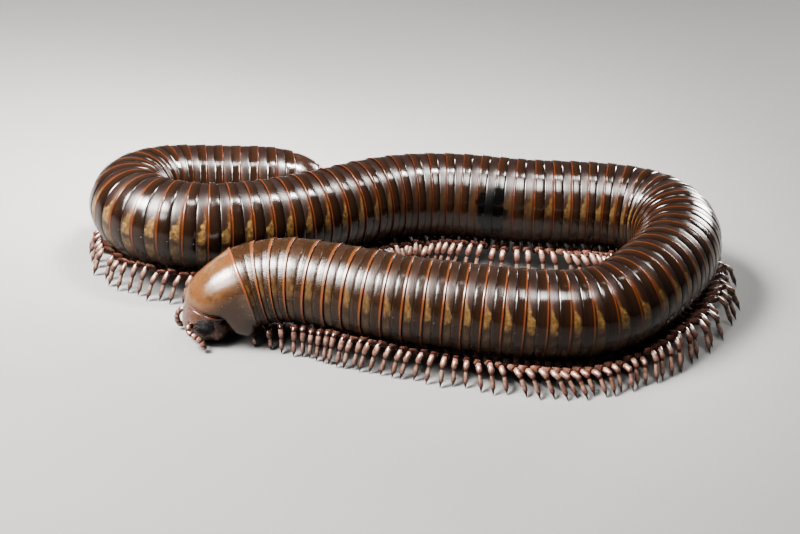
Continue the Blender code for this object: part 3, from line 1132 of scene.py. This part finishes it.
@dataclass
class Legs(Part):
    """Two pairs of walking legs to a ring, posed in waves as the solids' legs."""

    slot: ClassVar[str] = "limb_cuticle"
    places: Pair = (0.28, 0.74)
    single_pair_rings: int = 3
    bare_last_rings: int = 2
    root_side: float = 0.0006
    root_depth: float = 0.0007
    hip_share: float = 0.36
    hip_drop: float = 0.00055
    knee_share: float = 0.78
    knee_lift: float = 0.0005
    knee_clearance: float = 0.00095
    spread: float = 0.0089
    spread_places: tuple[float, ...] = (0.0, 0.04, 0.085, 0.11, 0.15, 0.17)
    spreads: tuple[float, ...] = (0.0048, 0.0089, 0.0089, 0.0076, 0.0074, 0.0058)
    inner_share: float = 0.34
    swing_curve: float = 2.2
    swing: float = 0.0034
    swing_loose: float = 0.00035
    spread_loose: Pair = (0.92, 1.05)
    knee_loose: Pair = (0.93, 1.12)
    knee_swing: float = 0.5
    shin: Place = (0.8, 0.9, 0.55)
    foot_height: float = 0.00006
    wave: float = 0.036
    phase: float = -11.5
    seed: int = 7
    limb: Limb = field(
        default_factory=lambda: Limb(
            lengths=(0.12, 0.27, 0.22, 0.17, 0.22),
            widths=(0.0005, 0.00062, 0.00055, 0.00046, 0.00034),
            shape=((0.07, 0.84), (0.8, 1.0)),
            segments=6,
        )
    )

    def corners(self, s: float, side: Side, draw: random.Random) -> tuple[Rows, Rows]:
        """Pose one leg.

        Args:
            s: distance of the leg along the body.
            side: side of the animal.
            draw: seeded source of small differences.

        Returns:
            Rows of points from the root to the foot, and the way along the body.
        """
        origin, along, out, _ = ROUTE.frames(np.array(s))
        along = unit(along * (1, 1, 0))
        radius = float(ROUTE.radius(np.array(s)))
        belly = origin[2] - radius * ROUTE.belly
        spread = float(np.interp(s, self.spread_places, self.spreads)) * radius / ROUTE.body_radius
        inward = float(ROUTE.bend(s)) * side.value
        if inward > 1.0:
            spread = min(spread, self.inner_share / inward)
        share = (spread / self.spread) ** self.swing_curve
        swing = self.swing * share * math.sin(2.0 * math.pi * (s / self.wave) + self.phase)
        swing += draw.uniform(-self.swing_loose, self.swing_loose) * share
        spread *= draw.uniform(*self.spread_loose)
        knee_side = self.knee_share * spread
        underside = origin[2] - math.sqrt(max(0.0, radius ** 2 - knee_side ** 2))
        knee = min(belly + self.knee_lift, underside - self.knee_clearance) * draw.uniform(*self.knee_loose)
        shin_swing, shin_side, shin_height = self.shin
        path = np.array([
            (0.0, self.root_side, belly + self.root_depth),
            (0.0, self.hip_share * spread, belly - self.hip_drop),
            (self.knee_swing * swing, knee_side, knee),
            (shin_swing * swing, shin_side * spread, shin_height * knee),
            (swing, spread, self.foot_height),
        ])
        rows = origin + along * path[:, :1] + out * side.value * path[:, 1:2]
        rows[:, 2] = path[:, 2]
        return rows, along

    def build(self) -> None:
        """Copy the leg to every ring and join the legs length by length."""
        leg = self.limb.build("leg")
        draw = random.Random(self.seed)
        for label, rings in ROUTE.lengths():
            made = []
            for ring in range(rings.start, min(rings.stop, ROUTE.rings - self.bare_last_rings)):
                places = self.places[:1] if ring < self.single_pair_rings else self.places
                for place, side in ((place, side) for place in places for side in Side):
                    corners, along = self.corners(float(ROUTE.ring_place(ring + place)), side, draw)
                    made.append(copy_of(leg))
                    reshape(made[-1], along_path(smooth_path(corners), along))
            self.dress(join(f"legs_{label}", made))
        bpy.data.objects.remove(leg)


@dataclass
class Neck:
    """The frame in front of the first ring, where collum and head are set.

    Rows in this frame count forward, left and up.
    """

    forward_reach: float = 0.0048
    drop: float = 0.002
    front_pitch: float = 80.0
    gap: float = 0.0003
    rear_radius: float = 0.00575
    front_width: float = 0.0035
    front_depth: float = 0.0031
    narrowing: float = 0.75
    overrun: float = 0.006
    head_width: float = 0.0035
    head_depth: float = 0.003
    head_length: float = 0.0045
    head_form: tuple[Place, ...] = (
        (0.0, 0.965, 0.965), (0.22, 1.0, 1.0), (0.45, 1.0, 1.0),
        (0.68, 0.93, 0.94), (0.87, 0.76, 0.76), (1.0, 0.52, 0.48),
    )

    def __post_init__(self) -> None:
        """Read the route's start."""
        self.origin, along, _, _ = ROUTE.frames(np.array(0.0))
        self.forward = -unit(along * (1, 1, 0))
        self.up = np.array([0.0, 0.0, 1.0])
        self.left = np.cross(self.up, self.forward)
        self.rear_pitch = math.degrees(math.atan2(along[2], math.hypot(along[0], along[1])))
        self.margin = np.array([self.forward_reach, 0.0, -self.drop])

    def world(self, rows: Rows) -> Rows:
        """Turn rows of this frame into points of the scene."""
        return self.origin + rows[:, 0:1] * self.forward + rows[:, 1:2] * self.left + rows[:, 2:3] * self.up

    def pitched(self, degrees: Rows | float) -> tuple[Rows, Rows]:
        """Ways along and across a section pitched down from forward."""
        angle = np.radians(degrees)
        way = np.stack([np.cos(angle), 0 * angle, -np.sin(angle)], -1)
        return way, np.stack([np.sin(angle), 0 * angle, np.cos(angle)], -1)

    def lay_collum(self, points: Rows) -> Rows:
        """Lay the unit collum on the bend from the trunk down over the head.

        Args:
            points: rows of points of the unit form.

        Returns:
            Rows of points of the scene.
        """
        points = ROUTE.soften(points)
        share = points[:, 0]
        start, stop = self.pitched(self.rear_pitch)[0], self.pitched(self.front_pitch)[0]
        corner = start * (np.cross(self.margin, stop)[1] / np.cross(start, stop)[1])
        held = np.clip(share, 0.0, 1.0)
        centre = corner * (2 * held * (1 - held))[:, None] + self.margin * (held ** 2)[:, None]
        centre = centre + start * np.minimum(share, 0.0)[:, None] * self.overrun
        centre = centre + stop * np.maximum(share - 1.0, 0.0)[:, None] * self.overrun
        _, across = self.pitched(self.rear_pitch + (self.front_pitch - self.rear_pitch) * held)
        narrow = held ** self.narrowing
        width = self.rear_radius + (self.front_width - self.rear_radius) * narrow
        depth = self.rear_radius + (self.front_depth - self.rear_radius) * narrow
        rows = centre + across * (points[:, 2] * depth)[:, None]
        rows[:, 1] += points[:, 1] * width
        return self.world(rows)

    def head_centre(self, share: Rows) -> Rows:
        """Centre of the head at shares of its way down."""
        way, _ = self.pitched(self.front_pitch)
        return self.margin + (self.gap + self.head_length * share)[..., None] * way

    def head_size(self, share: Rows) -> tuple[Rows, Rows]:
        """Half width and half depth of the head at shares of its way down."""
        places, widths, depths = np.array(self.head_form).T
        width = self.head_width * np.interp(share, places, widths)
        return width, self.head_depth * np.interp(share, places, depths)

    def on_head(self, turn: float, share: float, side: Side) -> tuple[Rows, tuple[Rows, Rows, Rows]]:
        """Find a place on the head.

        Args:
            turn: turn from the face, in degrees.
            share: share of the way down.
            side: side of the animal.

        Returns:
            The point, and the ways out of, along and down the surface.
        """
        way, across = self.pitched(self.front_pitch)
        lateral = np.array([0.0, 1.0, 0.0]) * side.value
        angle = math.radians(turn)
        width, depth = self.head_size(np.array(share))
        centre = self.head_centre(np.array(share))
        point = centre + across * depth * math.cos(angle) + lateral * width * math.sin(angle)
        outward = unit(across * math.cos(angle) / depth + lateral * math.sin(angle) / width)
        along = unit(np.cross(way, outward))
        return point, (outward, along, np.cross(outward, along))

    def set_in(self, centre: Rows, ways: Sequence[Rows], sizes: Place) -> Mapper:
        """Make the rule that sets a unit form in the head, with its half sizes along three ways."""
        return lambda points: self.world(
            centre + sum(points[:, part:part + 1] * ways[part] * sizes[part] for part in range(3))
        )


NECK = Neck()


@dataclass
class Collum(Part):
    """The smooth shield behind the head; the profile's last stations turn in behind its front margin."""

    slot: ClassVar[str] = "collum_shell"
    profile: Profile = (
        (0.06, 0.935), (0.012, 0.955), (-0.012, 0.985), (-0.006, 1.004), (0.02, 1.006), (0.045, 1.0),
        (0.1, 0.998), (0.18, 1.0), (0.27, 1.002), (0.36, 1.004), (0.45, 1.005), (0.54, 1.005), (0.63, 1.004),
        (0.72, 1.003), (0.8, 1.002), (0.87, 1.0), (0.915, 0.995), (0.932, 0.989), (0.95, 1.004),
        (0.975, 1.016), (0.995, 1.01), (1.006, 0.99), (1.002, 0.95), (0.97, 0.925), (0.9, 0.9),
        (0.88, 0.5), (0.88, 0.05),
    )
    margin_lift: float = -0.00018
    lobe_down: float = 0.00185
    lobe_out: float = 0.00045
    belly_lift: float = 0.0007

    def lay(self, points: Rows) -> Rows:
        """Lay the shield on the neck, with its front margin, its low side lobes and its belly.

        Args:
            points: rows of points of the unit form.

        Returns:
            Rows of points of the scene.
        """
        turn = np.abs(np.arctan2(points[:, 1], points[:, 2]) / (2 * math.pi))
        share = points[:, 0]
        raised = swell((turn - 0.24) / 0.085) * ease((share - 0.55) / 0.45)
        lobe = swell((turn - 0.35) / 0.062) * ease(share / 0.14) * (1 - ease((share - 0.42) / 0.45))
        under = ease((turn - 0.4) / 0.06) * ease(share / 0.2) * (1 - ease((share - 0.7) / 0.3))
        side = points[:, 1:2] * NECK.left
        laid = NECK.lay_collum(points) + lobe[:, None] * self.lobe_out * side
        laid[:, 2] += raised * self.margin_lift - lobe * self.lobe_down + under * self.belly_lift
        return laid

    def build(self) -> None:
        """Model the shield and lay it on the neck."""
        shield = turned_form("collum_shield", self.profile)
        reshape(shield, self.lay)
        self.dress(shield, "collum")


@dataclass
class Head(Part):
    """The head capsule with its sutures, sockets and the toothed lip."""

    slot: ClassVar[str] = "head_shell"
    stations: int = 56
    root: Profile = ((-0.085, 0.3), (-0.08, 0.78), (-0.06, 0.885), (-0.02, 0.945))
    mouth: Profile = ((1.012, 0.9), (1.016, 0.66), (1.0, 0.4), (0.985, 0.12))
    eye: Pair = (66.0, 0.31)
    socket: Pair = (40.0, 0.44)
    pits: tuple[Pair, ...] = ((9.0, 0.79), (24.0, 0.79))
    socket_rim: float = 0.00013
    socket_depth: float = 0.00026
    eye_swell: float = 0.00007
    face_line: float = 0.00006
    lip_line: float = 0.00009
    lip_swell: float = 0.00008
    pit_depth: float = 0.00009
    cheek_line: float = 0.00012
    cheek_swell: float = 0.0001
    rear_flare: float = 0.00042
    tooth: float = 0.0001
    teeth: float = 18.0

    def relief(self, turn: Rows, share: Rows) -> Rows:
        """Height of the head's relief in metres.

        Args:
            turn: turn from the face to the sides, in degrees, 0 to 180.
            share: share of the way down.

        Returns:
            The height over the plain capsule at each point.
        """

        def away(spot: Pair, wide: float, tall: float) -> Rows:
            """Square of the distance from a spot, in its own sizes."""
            return ((turn - spot[0]) / wide) ** 2 + ((share - spot[1]) / tall) ** 2

        socket = away(self.socket, 12.0, 0.1)
        high = self.socket_rim * np.exp(-((socket - 1.0) ** 2) / 0.18)
        high -= self.socket_depth * np.exp(-socket / 0.45)
        high += self.eye_swell * np.exp(-away(self.eye, 20.0, 0.15))
        high -= self.face_line * swell(turn / 2.2) * (1 - ease((share - 0.25) / 0.15))
        front = 1 - ease((turn - 46.0) / 12.0)
        high -= self.lip_line * front * swell((share - 0.845) / 0.012)
        high += self.lip_swell * front * ease((share - 0.85) / 0.04)
        for pit in self.pits:
            high -= self.pit_depth * np.exp(-away(pit, 2.4, 0.016))
        cheek = swell((turn - 92.0 - 26.0 * (share - 0.5)) / 3.0)
        high -= self.cheek_line * cheek * ease((share - 0.3) / 0.08)
        high += self.cheek_swell * ease((turn - 95.0) / 20.0) * ease((share - 0.34) / 0.2)
        high += self.rear_flare * ease((turn - 62.0) / 34.0) * (1 - ease((share - 0.02) / 0.17))
        tooth = np.cos(np.radians(turn) * self.teeth) * (1 - ease((turn - 24.0) / 4.0))
        return high + self.tooth * tooth * ease((share - 0.93) / 0.05)

    def lay(self, points: Rows) -> Rows:
        """Lay the unit capsule in front of the collum and raise its relief.

        Args:
            points: rows of points of the unit form.

        Returns:
            Rows of points of the scene.
        """
        share = np.clip(points[:, 0], 0, 1)
        turn = np.degrees(np.abs(np.arctan2(points[:, 1], points[:, 2])))
        width, depth = NECK.head_size(share)
        _, across = NECK.pitched(NECK.front_pitch)
        skin = np.hypot(points[:, 1], points[:, 2]) > 0.95
        spread = 1.0 + self.relief(turn, share) * skin / NECK.head_depth
        rows = NECK.head_centre(points[:, 0]) + across * (points[:, 2] * depth * spread)[:, None]
        rows[:, 1] += points[:, 1] * width * spread
        return NECK.world(rows)

    def build(self) -> None:
        """Model the capsule station by station and lay it."""
        middle = [(float(share), 1.0) for share in np.linspace(0.0, 1.0, self.stations)]
        head = turned_form("head_capsule", [*self.root, *middle, *self.mouth])
        reshape(head, self.lay)
        self.dress(head, "head")


@dataclass
class EyePatch(Part):
    """A field of small round lenses on a low dark mound."""

    slot: ClassVar[str] = "eye_patch"
    side: Side
    turn: float = 76.0
    share: float = 0.36
    rows: tuple[int, ...] = (6, 8, 9, 10, 11, 11, 11, 10, 9, 8, 6)
    lens: float = 0.00013
    lens_rise: float = 0.00006
    spacing: float = 0.000228
    row_pitch: float = 0.87
    mound: Place = (0.00034, 6.0, 5.5)
    mound_sunk: float = 0.00022

    def build(self) -> None:
        """Model one lens, copy it over the patch and add the mound under it."""
        select()
        bpy.ops.mesh.primitive_uv_sphere_add(segments=8, ring_count=6, radius=1.0)
        lens = bpy.context.object
        point, (outward, along, down) = NECK.on_head(self.turn, self.share, self.side)
        ways = (along, down, outward)
        placed = []
        for row, count in enumerate(self.rows):
            for column in range(count):
                sideways = (column - (count - 1) / 2) * self.spacing
                below = (row - (len(self.rows) - 1) / 2) * self.spacing * self.row_pitch
                arch = (sideways ** 2 + below ** 2) / (2 * NECK.head_depth)
                centre = point + along * sideways + down * below + outward * (self.lens_rise - arch)
                placed.append((centre, (self.lens, self.lens, self.lens)))
        thick, wide, tall = self.mound
        placed.append((point - outward * self.mound_sunk, (self.spacing * wide, self.spacing * tall, thick)))
        made = []
        for centre, sizes in placed:
            made.append(copy_of(lens))
            reshape(made[-1], NECK.set_in(centre, ways, sizes))
        bpy.data.objects.remove(lens)
        name = self.side.name.lower()
        self.dress(join(f"eye_lenses_{name}", made), f"eye_{name}")


@dataclass
class Mouthparts(Part):
    """The cheeks of the mandibles and the plate that closes the mouth from below.

    Half sizes run out of, along and down the surface; each plate's centre is sunk under it.
    """

    slot: ClassVar[str] = "mouthpart_shell"
    segments: int = 48
    profile: Profile = (
        (-1.0, 0.05), (-0.97, 0.25), (-0.8, 0.6), (-0.45, 0.9), (0.0, 1.0), (0.4, 0.93), (0.6, 0.84),
        (0.7, 0.74), (0.72, 0.66), (0.8, 0.58), (0.93, 0.35), (0.99, 0.12), (1.0, 0.03),
    )
    cheek_at: Pair = (134.0, 0.5)
    cheek_size: Place = (0.00105, 0.00175, 0.0017)
    cheek_sunk: float = 0.0005
    lower_at: Pair = (180.0, 0.62)
    lower_size: Place = (0.0009, 0.0011, 0.0013)
    lower_sunk: float = 0.0004

    def plate(self, name: str, at: Pair, side: Side, size: Place, sunk: float) -> Item:
        """Model a rounded plate with a raised rim, set into the head.

        Args:
            name: name of the plate.
            at: turn from the face and share of the way down the head.
            side: side of the animal.
            size: half sizes.
            sunk: depth of its centre under the surface.

        Returns:
            The plate.
        """
        plate = turned_form(name, self.profile, self.segments)
        point, ways = NECK.on_head(*at, side)
        reshape(plate, NECK.set_in(point - ways[0] * sunk, ways, size))
        return plate

    def build(self) -> None:
        """Build both cheeks and the mouth plate."""
        for side in Side:
            name = side.name.lower()
            cheek = self.plate(f"mandible_{name}", self.cheek_at, side, self.cheek_size, self.cheek_sunk)
            self.dress(cheek, f"cheek_{name}")
        lower = self.plate("lower_plate", self.lower_at, Side.LEFT, self.lower_size, self.lower_sunk)
        self.dress(lower, "mouth_plate")


@dataclass
class Antennae(Part):
    """Two jointed antennae that hang from their sockets by way of their bends."""

    slot: ClassVar[str] = "limb_cuticle"
    socket: Pair = (40.0, 0.44)
    root_depth: float = 0.0002
    root_rise: float = 0.0003
    left: tuple[Place, ...] = (
        (0.0079, 0.0029, -0.0045), (0.0072, 0.0036, -0.0049),
        (0.0063, 0.0041, -0.0056), (0.0059, 0.0044, -0.0066),
    )
    right: tuple[Place, ...] = (
        (0.0082, -0.0027, -0.0042), (0.0085, -0.0028, -0.005),
        (0.0083, -0.0028, -0.006), (0.0076, -0.0029, -0.0066),
    )
    limb: Limb = field(
        default_factory=lambda: Limb(
            lengths=(0.08, 0.19, 0.17, 0.16, 0.16, 0.15, 0.09),
            widths=(0.00034, 0.00037, 0.00038, 0.00039, 0.00041, 0.00042, 0.00034),
            shape=((0.02, 0.62), (0.14, 0.84), (0.4, 0.93), (0.72, 1.0), (0.92, 0.98), (0.99, 0.8)),
            segments=20,
            claw=0.03,
        )
    )

    def build(self) -> None:
        """Pose one antenna on each side."""
        straight = self.limb.build("antenna")
        for side, bends in ((Side.LEFT, self.left), (Side.RIGHT, self.right)):
            name = side.name.lower()
            point, (outward, _, _) = NECK.on_head(*self.socket, side)
            rows = np.vstack([point - outward * self.root_depth, point + outward * self.root_rise, *bends])
            antenna = copy_of(straight, f"feeler_{name}")
            reshape(antenna, along_path(smooth_path(NECK.world(rows)), NECK.forward + 0.2 * NECK.up))
            self.dress(antenna, f"antenna_{name}")
        bpy.data.objects.remove(straight)


@dataclass
class TailEnd(Part):
    """The last ring and the two valves that close the body."""

    slot: ClassVar[str] = "telson_shell"
    telson_end: float = 0.1935
    valve_gap: float = 0.0001
    half_slit: float = 0.035
    lip: float = 0.05
    lip_width: float = 0.12
    telson: Profile = (
        (-0.05, 0.935), (0.0, 0.945), (0.15, 0.965), (0.35, 0.985), (0.6, 0.995), (0.85, 1.0), (0.96, 1.005),
        (1.0, 0.99), (0.98, 0.95), (0.9, 0.9), (0.85, 0.5), (0.85, 0.05),
    )
    dome: Profile = (
        (0.0, 0.9), (0.02, 0.955), (0.1, 0.97), (0.25, 0.975), (0.45, 0.975), (0.65, 0.97), (0.82, 0.95),
        (0.94, 0.85), (1.0, 0.5), (1.01, 0.08),
    )

    def span(self, start: float, end: float) -> Mapper:
        """Make the rule that lays a unit form between two distances."""
        return ROUTE.laid(lambda x: start + (end - start) * x)

    def halve(self, points: Rows, side: Side) -> Rows:
        """Press a dome to one side of the slit, with a raised lip along it.

        Args:
            points: rows of points of the dome, which it changes.
            side: side of the animal.

        Returns:
            The same rows.
        """
        points[:, 1] = side.value * np.maximum(self.half_slit, points[:, 1] * side.value)
        edge = swell(np.abs(points[:, 1]) / self.lip_width)
        points[:, 1:] *= (1.0 + self.lip * edge * (points[:, 0] > 0.05))[:, None]
        return points

    def build(self) -> None:
        """Build the telson and its valves."""
        telson = turned_form("tail_ring", self.telson)
        reshape(telson, self.span(ROUTE.rings * ROUTE.pitch, self.telson_end))
        self.dress(telson, "telson")
        for side in Side:
            name = side.name.lower()
            valve = turned_form(f"tail_valve_{name}", self.dome)
            reshape(valve, lambda points: self.halve(points, side))
            with editing(valve):
                bpy.ops.mesh.remove_doubles(threshold=0.002)
            reshape(valve, self.span(self.telson_end + self.valve_gap, ROUTE.tip))
            self.dress(valve, f"valve_{name}")


class Light(NamedTuple):
    """A soft rectangular light: place, point it faces, size, watts and the angle of its beam in degrees."""

    name: str
    place: Place
    aim: Place
    size: Pair
    watts: float
    beam: float

    def hang(self) -> None:
        """Hang the light."""
        data = bpy.data.lights.new(self.name, "AREA")
        data.shape = "RECTANGLE"
        data.size, data.size_y = self.size
        data.energy = self.watts
        data.color = (1.0, 0.975, 0.945)
        data.spread = math.radians(self.beam)
        lamp = bpy.data.objects.new(self.name, data)
        lamp.location = self.place
        lamp.rotation_euler = (Vector(self.aim) - Vector(self.place)).to_track_quat("-Z", "Y").to_euler()
        bpy.context.collection.objects.link(lamp)


@dataclass
class Studio:
    """Camera, floor and soft lights.

    Three boxes light the left bend, a strip and two cards the middle, and a low box the right bend
    from behind.
    """

    focal: float = 125.0
    film: float = 36.0
    distance: float = 0.374
    elevation: float = 27.0
    roll: float = 2.5
    target: Place = (-0.001564, -0.007633, 0.009)
    floor_size: float = 4.0
    room: Colour = (0.8, 0.81, 0.8)
    room_strength: float = 0.2
    lights: tuple[Light, ...] = (
        Light("left_box", (-0.25, -0.07, 0.28), (-0.06, -0.01, 0), (0.23, 0.21), 1.5, 36.0),
        Light("low_box", (-0.26, -0.2, 0.22), (-0.065, -0.005, 0.005), (0.16, 0.14), 0.056, 24.0),
        Light("left_top", (-0.105, 0.0, 0.3), (-0.09, 0.01, 0), (0.11, 0.13), 0.045, 18.0),
        Light("close_strip", (0.037, 0.035, 0.16), (-0.025, 0.03, 0.012), (0.026, 0.09), 0.042, 40.0),
        Light("mid_card", (0.024, -0.01, 0.105), (0.02, 0.022, 0.01), (0.036, 0.09), 0.032, 40.0),
        Light("tail_card", (0.02, 0.03, 0.13), (-0.035, 0.033, 0.01), (0.016, 0.036), 0.044, 40.0),
        Light("back_box", (0.19, 0.25, 0.087), (0.038, 0, 0.014), (0.1, 0.11), 0.19, 60.0),
    )

    def place_camera(self) -> None:
        """Set the camera at the photograph's viewpoint."""
        rise, roll = math.radians(self.elevation), math.radians(self.roll)
        look = Vector((0.0, math.cos(rise), -math.sin(rise)))
        level = Vector((1.0, 0.0, 0.0))
        over = Vector((0.0, math.sin(rise), math.cos(rise)))
        right = level * math.cos(roll) + over * math.sin(roll)
        up = over * math.cos(roll) - level * math.sin(roll)
        data = bpy.data.cameras.new("camera")
        data.lens = self.focal
        data.sensor_width = self.film
        data.clip_start = 0.01
        camera = bpy.data.objects.new("camera", data)
        turn = Matrix((right, up, -look)).transposed().to_4x4()
        camera.matrix_world = Matrix.Translation(Vector(self.target) - look * self.distance) @ turn
        bpy.context.collection.objects.link(camera)
        bpy.context.scene.camera = camera

    def lay_floor(self) -> None:
        """Lay the plain pale floor."""
        select()
        bpy.ops.mesh.primitive_plane_add(size=self.floor_size, location=(0, 0, 0))
        floor = bpy.context.object
        floor.name = "floor"
        floor.data.materials.append(FloorFinish().build())

    def light_room(self) -> None:
        """Hang the lights, and set the room's dim light and the view's contrast."""
        for light in self.lights:
            light.hang()
        world = bpy.data.worlds.new("room")
        world.use_nodes = True
        background = world.node_tree.nodes["Background"].inputs
        background["Color"].default_value = (*self.room, 1.0)
        background["Strength"].default_value = self.room_strength
        bpy.context.scene.world = world
        bpy.context.scene.view_settings.look = "AgX - Medium High Contrast"

    def build(self) -> None:
        """Set up the whole studio."""
        self.place_camera()
        self.lay_floor()
        self.light_room()


COLLUM_FINISH = PlateFinish(
    name="collum_shell", base=(0.058, 0.027, 0.01), shade=(0.019, 0.009, 0.0046), rim=(0.115, 0.033, 0.014),
    low_shade=(0.0135, 0.0062, 0.0033), rim_from=0.93, roughness=0.165, low_from=0.16, rear_climb=0.14,
    front_dull=0.8, ruddy=0.16,
)
HEAD_FINISH = PlateFinish(
    name="head_shell", base=(0.032, 0.0125, 0.007), shade=(0.014, 0.0055, 0.0035), rim=(0.04, 0.012, 0.006),
    low_shade=(0.028, 0.0085, 0.005), rim_from=2.0, roughness=0.22,
)
MOUTH_FINISH = PlateFinish(
    name="mouthpart_shell", base=(0.042, 0.011, 0.0055), shade=(0.018, 0.0055, 0.0032),
    rim=(0.06, 0.021, 0.0105), low_shade=(0.022, 0.007, 0.004), rim_from=0.72, roughness=0.24,
)
TAIL_FINISH = PlateFinish(
    name="telson_shell", base=(0.011, 0.005, 0.003), shade=(0.006, 0.0028, 0.0019), rim=(0.09, 0.019, 0.004),
    low_shade=(0.015, 0.007, 0.004), rim_from=0.93, roughness=0.16,
)
FEELER_FINISH = LimbFinish(
    name="feeler_cuticle", pale=(0.062, 0.026, 0.018), cream=(0.12, 0.062, 0.047),
    flushed=(0.045, 0.016, 0.011), dark=(0.012, 0.0045, 0.0032),
)


def main() -> None:
    """Build the animal and the studio, and log the face count of each finished piece."""
    logging.basicConfig(level=logging.INFO, format="%(message)s")
    select()
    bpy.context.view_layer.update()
    Studio().build()
    eye = EyeFinish().build()
    parts = (
        Trunk(RingFinish().build()), Legs(LimbFinish("limb_cuticle").build()), Collum(COLLUM_FINISH.build()),
        Head(HEAD_FINISH.build()), EyePatch(eye, Side.LEFT), EyePatch(eye, Side.RIGHT),
        Mouthparts(MOUTH_FINISH.build()), Antennae(FEELER_FINISH.build()), TailEnd(TAIL_FINISH.build()),
    )
    for part in parts:
        part.build()


if __name__ == "__main__":
    main()
